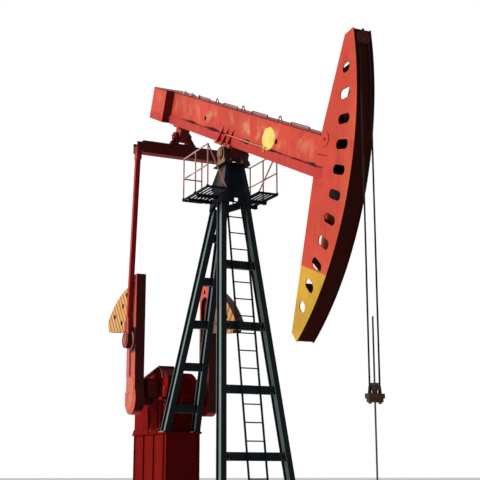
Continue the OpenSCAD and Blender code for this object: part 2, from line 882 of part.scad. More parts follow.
// The angle of slot k, counted from the middle of the row, which opens a little upwards
function slot_angle(k) = 0.39 + k * hole_pitch + 0.017 * k * k;
function head_crown() = on_arc(head_reach, arc_above);
function head_tip() = on_arc(head_reach, -arc_below);
function head_back_top() = head_crown() - [head_top_depth, 120];
function head_back_low() = head_tip() - [head_foot_depth, -90];

module head_outline() {
    intersection() {
        circle(r = head_reach, $fn = 360);
        polygon([
            head_back_top(), [head_root, beam_top], [head_root, beam_rise], head_back_low(), head_tip(),
            1.3 * head_tip(), [1.5 * head_reach, 0], 1.3 * head_crown(), head_crown()
        ]);
    }
}

// One lightening hole: a slot with round ends that points to the pivot
module head_slot(len) {
    for (s = [-1, 1]) {
        translate([s * (len - hole_w) / 2, 0]) circle(d = hole_w);
    }
    square([len - hole_w, hole_w], center = true);
}

module head_side_plates() {
    last = (head_holes - 1) / 2;
    color("orangered") on_beam() both_sides() {
        plate_xz(beam_w / 2 - head_plate_t, head_plate_t) difference() {
            head_outline();
            for (k = [-last : last]) {
                // The slots grow shorter, and draw to the face, near the narrow ends of the head
                len = hole_len_mid - (hole_len_mid - hole_len_end) * pow(abs(k) / last, 4);
                out = 60 * pow(abs(k) / last, 6);
                rotate(slot_angle(k)) translate([hole_r + out, 0]) head_slot(len);
            }
        }
        // The boss that carries the head on the end of the beam
        round_y(head_root + 150, beam_top - 60, 230, beam_w / 2, beam_w / 2 + 12);
    }
}

module head_face() {
    inner = beam_w - 2 * head_plate_t;
    color("maroon") on_beam() about_pivot(-arc_below + 0.1, arc_above - 0.1)
        translate([face_r - face_t, -inner / 2]) square([face_t, inner]);
}

// The point at height z on the upper back edge of the head
function back_at(z) = let (a = [head_root, beam_top], b = head_back_top())
    a + (b - a) * (z - a[1]) / (b[1] - a[1]);

// A plate across the end of the beam and a little above it; elsewhere the back is open
module head_back_band(t) {
    edge = [[head_root, beam_rise], [head_root, beam_top], back_at(back_plate_top)];
    polygon(concat(edge, [for (k = [2 : -1 : 0]) edge[k] + [t, 0]]));
}

module head_back() {
    inner = beam_w - 2 * head_plate_t;
    color("maroon") on_beam() plate_xz(-inner / 2, inner)
        head_back_band(head_back_t);
}

// Diaphragms that stand square to the face between the side plates
module head_ribs() {
    inner = beam_w - 2 * head_plate_t;
    color("maroon") on_beam() plate_xz(-inner / 2, inner) difference() {
        intersection() {
            head_outline();
            union() for (a = [-22.1, -15.3, -7.2, 3, 13.2, 26.6]) {
                rotate(a) translate([head_root - 100, -head_rib_t / 2])
                    square([face_r - face_t - seat_gap - head_root + 100, head_rib_t]);
            }
        }
        head_back_band(head_back_t + seat_gap);
    }
}

module beam_top_rails() {
    d = 18;
    loop_h = 45;
    cleat_h = 45;
    y = -beam_w / 2 + 20;
    color("firebrick") on_beam() {
        // Low guard loops along the edge of the beam
        for (x = [[-1769, -1208], [-510, 138], [791, 1412], [2343, 2975]]) {
            for (e = x) {
                pipe([e, y, beam_top], [e, y, beam_top + loop_h], d);
            }
            pipe([x[0], y, beam_top + loop_h], [x[1], y, beam_top + loop_h], d);
        }
        // Bent hoops, each with one steep leg and one that slopes
        for (x = [-818, 405, 1928]) {
            // The legs lean, so each starts a little above the beam
            pipe([x - 75, y, beam_top + 1.8], [x - 62, y, beam_top + 80], d);
            pipe([x - 62, y, beam_top + 80], [x - 18, y, beam_top + 92], d);
            pipe([x - 18, y, beam_top + 92], [x + 75, y, beam_top + 6], d);
        }
        // Cleats near the tail
        for (x = [-2640, -2255, -1845]) {
            translate([x - 20, y, beam_top]) cube([40, 60, cleat_h]);
        }
    }
}

// Equalizer and pitmans

module equalizer_beam() {
    top = tail_h - equalizer_drop;
    half = equalizer_len / 2;
    chamfer = 120;
    x0 = -tail_back - equalizer_w / 2;
    color("maroon") translate([x0, 0, 0]) rotate([90, 0, 90]) linear_extrude(equalizer_w) polygon([
        [-half + chamfer, top], [half - chamfer, top], [half, top - chamfer],
        [half, top - equalizer_h], [-half, top - equalizer_h], [-half, top - chamfer]
    ]);
}

// Two pedestals on the equalizer, flared and finned towards their base plate
module tail_bearing() {
    base_t = 25;
    inner = 101;
    outer = 160;
    top = tail_h - equalizer_drop;
    color("firebrick") difference() {
        union() {
            translate([-tail_back - 110, -270, top]) cube([220, 540, base_t]);
            both_sides() {
                plate_xz(inner, outer - inner) union() {
                    translate([-tail_back, tail_h]) circle(r = 100);
                    polygon([
                        [-tail_back - 110, top + base_t - 1], [-tail_back + 110, top + base_t - 1],
                        [-tail_back + 99, tail_h], [-tail_back - 99, tail_h]
                    ]);
                }
                for (x = [-92, -8, 76]) {
                    bar_x(-tail_back + x, 16) polygon([
                        [outer - 1, top + base_t - 1], [262, top + base_t - 1],
                        [200, tail_h - 70], [outer - 1, tail_h - 40]
                    ]);
                }
            }
        }
        round_y(-tail_back, tail_h, tail_shaft_d + 2 * run_gap, -400, 400);
    }
}

module pitmans() {
    top = tail_h - equalizer_drop - equalizer_h;
    p = [-tail_back, 0, top];
    q = [-shaft_back, 0, pin_h];
    dir = (q - p) / norm(q - p);
    end = q - dir * (pin_bearing_d / 2 + seat_gap);
    collar = 150;
    color("firebrick") both_sides() translate([0, pitman_y, 0]) {
        intersection() {
            translate(p - dir * 100) rotate([0, atan2(dir[0], dir[2]), 0])
                linear_extrude(norm(end - p) + 100) square(pitman_s, center = true);
            translate([-5000, -500, 0]) cube([10000, 1000, top]);
        }
        translate([p[0] - 75, -48, top - collar]) cube([150, 96, collar]);
    }
}

module crank_pin_bearings() {
    color("firebrick") both_sides() {
        round_y(-shaft_back, pin_h, pin_bearing_d, pin_bearing_y, pin_bearing_y + pin_bearing_w);
        round_y(-shaft_back, pin_h, pin_bearing_d * 0.6, pin_bearing_y + pin_bearing_w, pin_bearing_y + pin_bearing_w + 14);
    }
}

// Cranks

// The face outline of a crank, its shaft axis at the origin and its free end up
module crank_outline() {
    circle(r = hub_r);
    translate([-crank_w / 2, 0]) square([crank_w, crank_tip]);
}

// A crank on the near side, its outer face to -Y
module crank() {
    pocket = 70;
    rim = 65;
    low = 560;
    high = crank_tip - 325;
    w = crank_w - 2 * rim;
    translate([-shaft_back, 0, shaft_h]) {
        difference() {
            union() {
                plate_xz(-crank_outer, crank_t) crank_outline();
                // Small lug near the free end
                translate([90, -crank_outer - 5, crank_tip - 402]) cube([60, 6, 190]);
            }
            // The long pocket in the inner face, with a round end, clear of the pin boss
            plate_xz(-crank_inner - pocket, pocket + 1) difference() {
                union() {
                    translate([-w / 2, low]) square([w, high - low - w / 2]);
                    translate([0, high - w / 2]) circle(d = w);
                }
                translate([0, crank_throw]) circle(d = pin_d + 110);
            }
            round_y(0, crank_tip - 226, 62, -crank_outer - 10, -crank_inner + 10);
            round_y(0, 0, shaft_d + 2 * run_gap, -crank_outer - 10, -crank_inner + 10);
            round_y(0, crank_throw, pin_d + 2 * run_gap, -crank_outer - 10, -crank_inner + 10);
        }
    }
}

module near_crank() {
    color("indianred") crank();
}

module far_crank() {
    color("indianred") mirror([0, 1, 0]) crank();
}

// The face of a fan shaped counterweight beyond the edge of its crank, pierced for lifting
module weight_profile(edge) {
    hole_d = 66;
    reach = weight_reach - 70;
    rise = 122;
    // The foot line runs on below the crank, so that a tilted weight still meets its edge
    back = 700;
    difference() {
        intersection() {
            circle(r = weight_r, $fn = 180);
            polygon([
                [edge - back, weight_foot - rise * back / (reach - edge)], [reach, weight_foot + rise],
                [weight_reach, weight_foot + 290], [weight_reach, weight_r], [edge - back, weight_r]
            ]);
        }
        for (p = [[340, 2060], [560, 1860], [1040, 1700], [620, 1530], [400, 1420]]) {
            translate(p) circle(d = hole_d);
        }
    }
}

// A counterweight that reaches to +X on the near side, tilted down against its crank
module counterweight(tilt) {
    edge = crank_w / 2 + seat_gap;
    color("goldenrod") translate([-shaft_back, 0, shaft_h]) plate_xz(-crank_outer + 8, weight_t)
        intersection() {
            translate([edge, 0]) square([weight_r, weight_r]);
            translate([edge, weight_turn_h]) rotate(-tilt) translate([-edge, -weight_turn_h])
                weight_profile(edge);
        }
}

module near_counterweight() {
    translate([-2 * shaft_back, 0, 0]) mirror([1, 0, 0]) counterweight(0);
}

module far_counterweight() {
    mirror([0, 1, 0]) counterweight(weight_tilt);
}

module crank_shaft() {
    color("gray") round_y(-shaft_back, shaft_h, shaft_d, -crank_outer - 4, crank_outer + 4);
}

module crank_pins() {
    color("gray") both_sides()
        round_y(-shaft_back, pin_h, pin_d, crank_inner + 20, pin_bearing_y - open_gap);
}

skid_base();
post_front_frame();
post_rear_frame();
post_head();
saddle_bearings();
ladder();
near_platform();
far_platform();
near_handrail();
far_handrail();
reducer_stool();
reducer_housing();
reducer_cover();
reducer_sheave();
drive_belts();
motor_sheave();
motor();
hanging_ropes();
beam_girder();
beam_tail_box();
beam_gussets();
saddle_shaft();
tail_bracket();
tail_shaft();
head_side_plates();
head_face();
head_back();
head_ribs();
rope_saddle();
rope_wrap();
beam_top_rails();
equalizer_beam();
tail_bearing();
pitmans();
crank_pin_bearings();
crank_shaft();
near_crank();
far_crank();
near_counterweight();
far_counterweight();
crank_pins();
carrier_bars();
rod_clamp();
polished_rod();
rope_sockets();
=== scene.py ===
"""Beam pumping unit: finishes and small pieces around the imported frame, and the studio."""

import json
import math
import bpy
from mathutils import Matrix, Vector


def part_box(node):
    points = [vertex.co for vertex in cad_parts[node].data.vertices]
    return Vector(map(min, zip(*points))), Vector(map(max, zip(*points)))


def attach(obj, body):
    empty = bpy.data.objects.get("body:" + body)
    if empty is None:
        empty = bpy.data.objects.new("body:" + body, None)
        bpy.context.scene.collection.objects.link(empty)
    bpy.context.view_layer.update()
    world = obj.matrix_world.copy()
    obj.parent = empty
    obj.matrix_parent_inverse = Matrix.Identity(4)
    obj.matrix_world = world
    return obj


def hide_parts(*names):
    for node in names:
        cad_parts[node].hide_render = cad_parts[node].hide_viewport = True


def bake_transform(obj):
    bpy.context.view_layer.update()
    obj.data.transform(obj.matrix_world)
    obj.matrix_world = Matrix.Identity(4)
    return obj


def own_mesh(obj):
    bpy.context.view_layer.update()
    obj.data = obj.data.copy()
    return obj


bl_info = {
    "name": "Beam Pumping Unit",
    "version": (1, 0, 0),
    "blender": (4, 5, 0),
    "location": "3D Viewport > Sidebar > Pumping Unit",
    "description": "Dresses a beam pumping unit with painted steel, wire rope, bolts and a studio",
    "category": "Add Mesh",
}

import bmesh
import bpy
from bpy.props import FloatProperty, FloatVectorProperty, IntProperty, PointerProperty
from mathutils import Matrix, Vector

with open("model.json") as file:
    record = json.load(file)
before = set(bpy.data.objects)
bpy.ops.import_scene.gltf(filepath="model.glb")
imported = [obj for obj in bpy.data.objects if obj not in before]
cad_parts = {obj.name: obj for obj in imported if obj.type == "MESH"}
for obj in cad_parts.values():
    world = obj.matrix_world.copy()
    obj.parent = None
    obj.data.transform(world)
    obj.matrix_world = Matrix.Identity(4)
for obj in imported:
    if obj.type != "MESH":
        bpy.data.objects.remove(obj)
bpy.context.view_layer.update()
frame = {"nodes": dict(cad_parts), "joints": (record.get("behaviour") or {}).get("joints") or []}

NODES = frame["nodes"]
JOINTS = {joint["name"]: joint for joint in frame["joints"]}
PIVOT_H = JOINTS["beam_rock"]["pos_m"][2]
TAIL = Vector(JOINTS["equalizer_hinge"]["pos_m"])
SHAFT = Vector(JOINTS["crank_turn"]["pos_m"])

# Distance from the pivot to the middle of the hanging ropes, and half the gap between them
HEAD_REACH = 4.507
ROPE_Y = 0.080
# Slope of the beam, and how far the rope saddle stands above the beam's own direction
BEAM_TILT = math.radians(24.0)
SADDLE_ANGLE = math.radians(31.2)
# Foot, band plate and top of the beam above the pivot axis, and outer face of its webs
BEAM_RISE, BAND_TOP, BEAM_TOP = 0.170, 0.332, 0.830
WEB_Y = 0.151
GUSSETS = (-0.285, -0.050, 0.185)
# Top of the front legs, and how far they run forward and outward for each metre down
LEG_TOP, LEG_FORWARD, LEG_OUTWARD = 6.140, 0.1815, 0.0809
PITMAN_Y = 0.930
CRANK_THROW = 1.120
CRANK_OUTER = 0.861
CRANK_TIP = 2.395
# Lifting holes of a counterweight, from the crank shaft: across and up
WEIGHT_HOLES = ((0.340, 2.060), (0.560, 1.860), (1.040, 1.700), (0.620, 1.530), (0.400, 1.420))
# The far counterweight is tilted about this point of its inner edge
WEIGHT_EDGE, WEIGHT_TURN, WEIGHT_TILT = 0.241, 1.600, math.radians(12.0)

# Width of the picture and shift of the camera, in pixels
PICTURE, SHIFT_X, SHIFT_Y = 480.0, -1.0, -26.5
# Edges bent further than this stay sharp, and closer points are merged
SHARP_ANGLE, MERGE_GAP = math.radians(35.0), 1e-5
SIDES = (-1, 1)
UP, DOWN, OUT, FORE = (0, 0, 1), (0, 0, -1), (0, 1, 0), (1, 0, 0)
ON_BEAM = Matrix.Translation((0, 0, PIVOT_H)) @ Matrix.Rotation(BEAM_TILT, 4, "Y")
AT_PIVOT = Matrix.Translation((0, 0, PIVOT_H))
AT_TAIL = Matrix.Translation(TAIL)
AT_SHAFT = Matrix.Translation(SHAFT)
AT_PIN = Matrix.Translation(SHAFT + Vector((0, 0, CRANK_THROW)))


def swatch(name, description, default):
    """A colour that a user can change."""
    return FloatVectorProperty(
        name=name, description=description, default=default, size=3, subtype="COLOR", min=0, max=1)


def length(name, description, default, low, high):
    """A length in metres that a user can change."""
    return FloatProperty(
        name=name, description=description, default=default, min=low, max=high,
        unit="LENGTH", subtype="DISTANCE")


class PumpPaint(bpy.types.PropertyGroup):
    """Colours of the painted pieces."""

    beam_red: swatch("Beam red", "Faded paint of the beam and the horsehead", (0.60, 0.068, 0.044))
    # Painted shade: the beam and the horsehead take this colour on their faces along the unit, and
    # on the edge of the top flange
    dark_red: swatch("Dark red", "Paint that the sun has not faded", (0.072, 0.003, 0.004))
    crank_red: swatch("Crank red", "Paint of the cranks", (0.66, 0.102, 0.083))
    head_yellow: swatch("Safety yellow", "Paint of the foot of the horsehead", (0.72, 0.42, 0.05))
    weight_yellow: swatch("Weight yellow", "Light stripes of the weights", (0.78, 0.44, 0.14))
    weight_brown: swatch("Weight brown", "Dark stripes of the weights", (0.40, 0.17, 0.060))
    # Lit and shaded copies of the post's paint: post_grey is the lit colour of the webs, and
    # post_dark is painted shade on the flanges and the own dark paint of the ladder, platforms and
    # post head
    post_grey: swatch("Post grey", "Webs of the post's legs", (0.215, 0.285, 0.295))
    post_dark: swatch("Post dark", "Flanges of the legs, and the ladder", (0.004, 0.006, 0.010))
    rail_pink: swatch("Rail paint", "Faded paint of the handrails", (0.62, 0.34, 0.32))
    motor_blue: swatch("Motor paint", "Paint of the electric motor", (0.10, 0.16, 0.20))


class PumpHardware(bpy.types.PropertyGroup):
    """Sizes of the small pieces."""

    weld_r: length("Weld bead", "Half the width of a weld bead", 0.007, 0.003, 0.012)
    rope_r: length("Rope", "Radius of the wire rope", 0.0135, 0.012, 0.018)
    rope_lay: length("Rope lay", "Length of one turn of a strand", 0.24, 0.1, 0.4)
    strands: IntProperty(
        name="Strands", description="Strands in the wire rope", default=6, min=5, max=8)
    grease_pipe_r: length("Grease pipe", "Radius of the grease pipe", 0.010, 0.006, 0.02)


class PumpStudio(bpy.types.PropertyGroup):
    """Light and camera."""

    key_power: FloatProperty(
        name="Key light", description="Strength of the key light", default=2.35, min=0, max=20)
    sky_power: FloatProperty(
        name="Room light", description="Strength of the light from all round", default=0.26,
        min=0, max=3)
    lens: FloatProperty(
        name="Lens", description="Focal length of the camera", default=80.52, min=20, max=200,
        unit="CAMERA")


GROUPS = (("pump_paint", PumpPaint), ("pump_hardware", PumpHardware), ("pump_studio", PumpStudio))


def maths(operation, swapped=False):
    """A method that wires its value and the others into a maths node."""
    def method(self, *others):
        terms = (*others, self) if swapped else (self, *others)
        node = self.nodes.add("ShaderNodeMath", {"operation": operation}, dict(enumerate(terms)))
        return Value(self.nodes, node.outputs[0])

    return method


class Value:
    """One socket of a node tree, with the sums and steps that a pattern needs."""

    def __init__(self, nodes, socket):
        self.nodes = nodes
        self.socket = socket

    __add__ = __radd__ = maths("ADD")
    __sub__ = maths("SUBTRACT")
    __rsub__ = maths("SUBTRACT", swapped=True)
    __mul__ = __rmul__ = maths("MULTIPLY")
    __truediv__ = maths("DIVIDE")
    __pow__ = maths("POWER")
    __abs__ = maths("ABSOLUTE")
    __or__ = maths("MAXIMUM")
    __and__ = maths("MINIMUM")
    fraction = maths("FRACT")

    def step(self, low, high):
        """Nought below low, one above high."""
        node = self.nodes.add("ShaderNodeMapRange", {"interpolation_type": "SMOOTHSTEP"}, {
            "Value": self, "From Min": low, "From Max": high})
        return Value(self.nodes, node.outputs["Result"])

    def fade(self, low, high):
        """One below low, nought above high."""
        return 1.0 - self.step(low, high)


class Nodes:
    """A node tree in the making."""

    def __init__(self, tree):
        self.tree = tree

    def wire(self, node, key, value):
        """Link a value to a socket, or set the socket's own value."""
        if isinstance(value, Value):
            self.tree.links.new(value.socket, node.inputs[key])
        else:
            node.inputs[key].default_value = value

    def add(self, kind, settings=None, sockets=None):
        """A node of a kind, with its settings set before its sockets."""
        node = self.tree.nodes.new(kind)
        for key, value in (settings or {}).items():
            setattr(node, key, value)
        for key, value in (sockets or {}).items():
            self.wire(node, key, value)
        return node


class Finish(Nodes):
    """A material in the making. Its base is the colour that its coats add up to."""

    def __init__(self, slot=None, name="finish"):
        self.material = bpy.data.materials.new(name)
        self.material.use_nodes = True
        super().__init__(self.material.node_tree)
        self.shader = self.tree.nodes["Principled BSDF"]
        self.slot = slot
        self.colours = bpy.context.scene.pump_paint
        coordinates = self.add("ShaderNodeTexCoord")
        self.place = Value(self, coordinates.outputs["Object"])
        self.x, self.y, self.z = self.axes(self.place)
        self.facing = self.axes(Value(self, coordinates.outputs["Normal"]))

    def axes(self, vector):
        split = self.add("ShaderNodeSeparateXYZ", None, {0: vector})
        return [Value(self, socket) for socket in split.outputs]

    def on_beam(self):
        """Place along the beam and above the pivot, in the beam's own directions."""
        height = self.z - PIVOT_H
        cos, sin = math.cos(BEAM_TILT), math.sin(BEAM_TILT)
        return self.x * cos - height * sin, self.x * sin + height * cos

    def noise(self, scale, detail=4.0, rough=0.55, at=None, warp=0.0):
        """Noise at the surface's own place, or at a place given by its three values."""
        place = self.place
        if at:
            joined = self.add("ShaderNodeCombineXYZ", None, dict(enumerate(at)))
            place = Value(self, joined.outputs[0])
        node = self.add("ShaderNodeTexNoise", None, {
            "Vector": place, "Scale": scale, "Detail": detail, "Roughness": rough,
            "Distortion": warp})
        return Value(self, node.outputs["Fac"])

    def patchy(self, low, high, *noise, **more):
        """Patches where noise lies above a level."""
        return self.noise(*noise, **more).step(low, high)

    def wobble(self, share, *noise, **more):
        """Noise on both sides of nought, to make an edge ragged."""
        return (self.noise(*noise, **more) - 0.5) * share

    def mix(self, share, first, second):
        """The first colour with a share of the second."""
        colours = [colour if isinstance(colour, Value) else (*colour[:3], 1.0)
                   for colour in (first, second)]
        node = self.add("ShaderNodeMix", {"data_type": "RGBA"}, {
            0: share, 6: colours[0], 7: colours[1]})
        return Value(self, node.outputs[2])

    def coat(self, share, colour):
        """Cover a share of the base with a colour."""
        self.base = self.mix(share, self.base, colour)

    def feed(self, name, value):
        self.wire(self.shader, name, value)

    def bump(self, height, distance, strength):
        node = self.add("ShaderNodeBump", None, {
            "Height": height, "Distance": distance, "Strength": strength})
        self.feed("Normal", Value(self, node.outputs["Normal"]))

    def on(self, *objects):
        for obj in objects:
            obj.data.materials.clear()
            obj.data.materials.append(self.material)


RUST = (0.115, 0.040, 0.018)
RUST_LIGHT = (0.26, 0.105, 0.040)
DUST = (0.42, 0.25, 0.13)
GREASE_AND_HOLE_SHADE = (0.016, 0.010, 0.007)
INNER = (0.030, 0.006, 0.005)


def shade(colour, factor):
    return tuple(min(1.0, channel * factor) for channel in colour[:3])


def reach(across, up):
    """Distance from a point, from the two distances along the axes."""
    return (across ** 2.0 + up ** 2.0) ** 0.5


def paint(slot, colour, side=None, side_shade_share=0.0, dust=0.3, rust=0.35, dirt=0.35, rough=0.5,
          marks=None, axis=0, flip=False, shine=0.08, inside=None):
    """Weathered paint: faded patches, streaks that run down, dust, chips with rust.

    side is a painted shade: the colour of the faces along an axis (or across it, with flip),
    or a function that gives it. marks adds painted and greasy places, and painted light and shade.
    inside is the outer face of plates whose inner faces get a painted shade.
    """
    finish = Finish(slot)
    finish.base = finish.mix(finish.patchy(0.35, 0.70, 0.9, 3.0), colour, shade(colour, 1.22))
    finish.coat(finish.patchy(0.50, 0.72, 3.5, 5.0) * 0.45, shade(colour, 0.66))
    if marks:
        marks(finish)
    finish.coat(finish.patchy(0.54, 0.74, 1.7, 6.0, 0.62, warp=0.4) * dust, DUST)
    streak = finish.noise(7.0, 5.0, 0.6, at=(finish.x, finish.y, finish.z * 0.13))
    finish.coat(streak.step(0.55, 0.76) * dirt, shade(colour, 0.32))
    # Painted shade: the faces along the axis, across it with flip, take the side colour
    if side:
        facing = abs(finish.facing[axis]).step(0.35, 0.75)
        finish.coat((1.0 - facing if flip else facing) * side_shade_share,
                    side(finish) if callable(side) else side)
    if inside:
        # The lips of the side plates beyond the curved face stay in its shade
        rim = reach(finish.x, finish.z - PIVOT_H).step(HEAD_REACH - 0.060, HEAD_REACH - 0.040)
        # So do their inner faces, where the back is closed
        closed = finish.on_beam()[1].step(-0.22, -0.12) * 0.85 + 0.10
        finish.coat((rim | closed) * abs(finish.y).fade(inside - 0.0010, inside - 0.0003), INNER)
    speckle = finish.noise(24.0, 8.0, 0.66)
    chips = speckle.step(0.690, 0.715) * rust
    finish.coat(speckle.step(0.63, 0.70) * (rust * 0.5), RUST_LIGHT)
    finish.coat(chips, RUST)
    finish.feed("Base Color", finish.base)
    finish.feed("Specular IOR Level", shine)
    finish.feed("Roughness", finish.noise(5.0, 4.0) * 0.30 + (rough - 0.15) + chips * 0.25)
    finish.bump(finish.noise(60.0, 3.0) * 0.25 + streak * 0.3 - chips * 1.2, 0.0015, 0.45)
    return finish


def bare_steel(slot, colour, rough=0.38, grease_and_shadow=0.5, metal=0.85, shine=0.5):
    """Worn machined steel with greasy patches."""
    finish = Finish(slot)
    worn = finish.noise(9.0, 5.0)
    grime_and_hole_shade = finish.patchy(0.42, 0.68, 3.0, 5.0, 0.6) * grease_and_shadow
    finish.base = finish.mix(worn.step(0.3, 0.7), shade(colour, 0.75), shade(colour, 1.2))
    finish.coat(grime_and_hole_shade, GREASE_AND_HOLE_SHADE)
    finish.feed("Base Color", finish.base)
    finish.feed("Metallic", (1.0 - grime_and_hole_shade) * metal)
    finish.feed("Specular IOR Level", shine)
    finish.feed("Roughness", worn * 0.25 + grime_and_hole_shade * 0.2 + (rough - 0.1))
    finish.bump(worn, 0.0008, 0.3)
    return finish


def rubber(slot):
    """Dull black rubber with worn fibres."""
    finish = Finish(slot)
    fibre = finish.noise(30.0, 4.0)
    finish.feed("Base Color", finish.mix(
        fibre.step(0.45, 0.75), (0.012, 0.012, 0.012), (0.05, 0.045, 0.04)))
    finish.feed("Roughness", fibre * 0.2 + 0.6)
    finish.bump(fibre, 0.001, 0.3)
    return finish


def beam_marks(finish):
    """The plain yellow patch, painted shade along the ledge and the stains of the beam's webs."""
    along, above = finish.on_beam()
    wobble = finish.wobble(0.25, 5.0, 3.0)
    # Pale blotches along the middle of the web
    stain = finish.patchy(0.50, 0.66, 1.0, 5.0, 0.6, warp=0.2,
                          at=(along * 2.9, above * 2.6, finish.y))
    middle = 1.0 - abs(along - 0.55).step(1.1, 2.8) * 0.6
    middle = middle * above.step(0.34, 0.46) * (1.0 - above.step(0.62, 0.80) * 0.8)
    finish.coat(stain * middle * 0.80, (0.76, 0.31, 0.170))
    # The edge of the top flange lies in its own shade, and the band plate keeps a fuller red
    finish.coat(above.step(0.804, 0.811) * 0.75, finish.colours.dark_red)
    finish.coat(above.fade(0.325, 0.336) * 0.7, (0.52, 0.046, 0.044))
    # Painted shade in a dark line above the band plate
    uneven = finish.patchy(0.40, 0.60, 1.0, 4.0, 0.6, at=(along * 1.3, 0.0, finish.y))
    line = abs(above - 0.341 + wobble * 0.05).fade(0.004, 0.018) * (uneven * 0.6 + 0.4)
    line = line * along.step(-2.7, -2.3) * along.fade(3.70, 3.74)
    # It swells to wedges of painted shade: first, last, level and thickness
    for first, last, level, thick in (
            (-2.41, -1.55, 0.352, 0.026), (-1.30, -0.40, 0.352, 0.034), (0.46, 1.02, 0.338, 0.046),
            (1.42, 2.10, 0.340, 0.026), (3.02, 3.66, 0.350, 0.034)):
        run = (along - (first + last) / 2) / ((last - first) / 2)
        height = ((1.0 - run * run) | 0.0) * (run * 0.70 + 0.85) * thick + wobble * 0.05
        line = line | (height - abs(above - level)).step(0.0, 0.008)
    finish.coat(line, (0.042, 0.003, 0.003))
    # The yellow patch has a ragged outline
    ragged = finish.wobble(0.22, 16.0, 3.0) + wobble * 0.4
    oval = reach((along - 1.645) / 0.242, (above - 0.508) / 0.195) + ragged
    bright = finish.mix(finish.patchy(0.4, 0.7, 7.0, 4.0), (0.92, 0.80, 0.26), (0.88, 0.68, 0.09))
    finish.coat(oval.fade(0.95, 1.01), bright)


def head_marks(finish):
    """Dust, two slits and the yellow foot of the horsehead, below a line square to the beam."""
    along, above = finish.on_beam()
    # Dust gathers towards the curved edge
    dusty = reach(along, above).step(4.15, 4.50) * finish.patchy(0.36, 0.66, 2.4, 5.0, 0.6)
    finish.coat(dusty * 0.40, (0.60, 0.20, 0.060))
    # Slits show where the plates lap
    slit = abs(above - 0.528 - (along - 3.58) * 0.075 + finish.wobble(0.03, 9.0, 3.0))
    slit = slit.fade(0.003, 0.009) * along.step(3.36, 3.44)
    finish.coat(slit * along.fade(3.68, 3.78), (0.035, 0.006, 0.006))
    lap = abs(above - 0.343 + finish.wobble(0.03, 8.0, 3.0)).fade(0.004, 0.012)
    finish.coat(lap * along.fade(3.62, 3.70), (0.030, 0.005, 0.005))
    edge = above + 1.158 - (along - 3.98) * 0.058 + finish.wobble(0.006, 30.0, 2.0)
    colour = finish.colours.head_yellow
    yellow = finish.mix(finish.patchy(0.42, 0.66, 2.2, 5.0), colour, shade(colour, 0.78))
    finish.coat(edge.fade(-0.004, 0.004), yellow)


def weight_holes():
    """Lifting holes of both counterweights: side, x and z in the row frame."""
    holes = []
    for side, tilt in ((-1, 0.0), (1, WEIGHT_TILT)):
        for across, up in WEIGHT_HOLES:
            dx, dz = across - WEIGHT_EDGE, up - WEIGHT_TURN
            x = WEIGHT_EDGE + dx * math.cos(tilt) + dz * math.sin(tilt)
            z = WEIGHT_TURN - dx * math.sin(tilt) + dz * math.cos(tilt)
            holes.append((side, SHAFT.x + side * x, SHAFT.z + z))
    return holes


def weight_marks(finish):
    """Slanting stripes, light and dark, painted shade in and round the lifting holes, and a painted
    shadow of the post on the far weight.
    """
    x, z = finish.x, finish.z
    # The stripes of the two sides lean against each other
    far = finish.y.step(-0.1, 0.1)
    stripes = (x + z * (0.78 - far * 1.56)) * (6.25 - far * 2.0) + finish.wobble(0.12, 6.0, 3.0)
    finish.coat(abs(stripes.fraction() - 0.5).step(0.24, 0.34), finish.colours.weight_brown)
    # A painted shadow of the post browns the part of the far weight behind it
    finish.coat(far * (x - SHAFT.x).fade(0.60, 0.85) * 0.8, (0.16, 0.085, 0.055))
    # Painted shade in and round each lifting hole
    for _, hole_x, hole_z in weight_holes():
        finish.coat(reach(x - hole_x, z - hole_z).fade(0.044, 0.054) * 0.92, (0.035, 0.006, 0.005))
    # Painted shade inside the lifting holes
    bore = 1.0 - abs(finish.facing[1]).step(0.3, 0.6)
    finish.coat(bore * reach(x - SHAFT.x, z - SHAFT.z).fade(2.13, 2.16), GREASE_AND_HOLE_SHADE)


def head_box_marks(finish):
    """Painted light on the outer sides of the post head, strongest beside the front legs and
    towards the top.
    """
    outward = (finish.facing[1] * finish.y).step(0.06, 0.12)
    front = (finish.x + finish.wobble(0.16, 3.0, 4.0)).step(-0.30, 0.02)
    upper = finish.z.step(PIVOT_H - 0.85, PIVOT_H - 0.45) * 0.75 + 0.2
    finish.coat(outward * front * upper, (0.13, 0.105, 0.090))
    # The legs show through the front plate as two paler strips
    inner = (PIVOT_H - 0.20 - finish.z) * 0.11 + 0.105
    legs = (abs(finish.y) - inner).step(0.0, 0.012) * finish.facing[0].step(0.6, 0.8)
    finish.coat(legs * 0.85, (0.013, 0.021, 0.034))


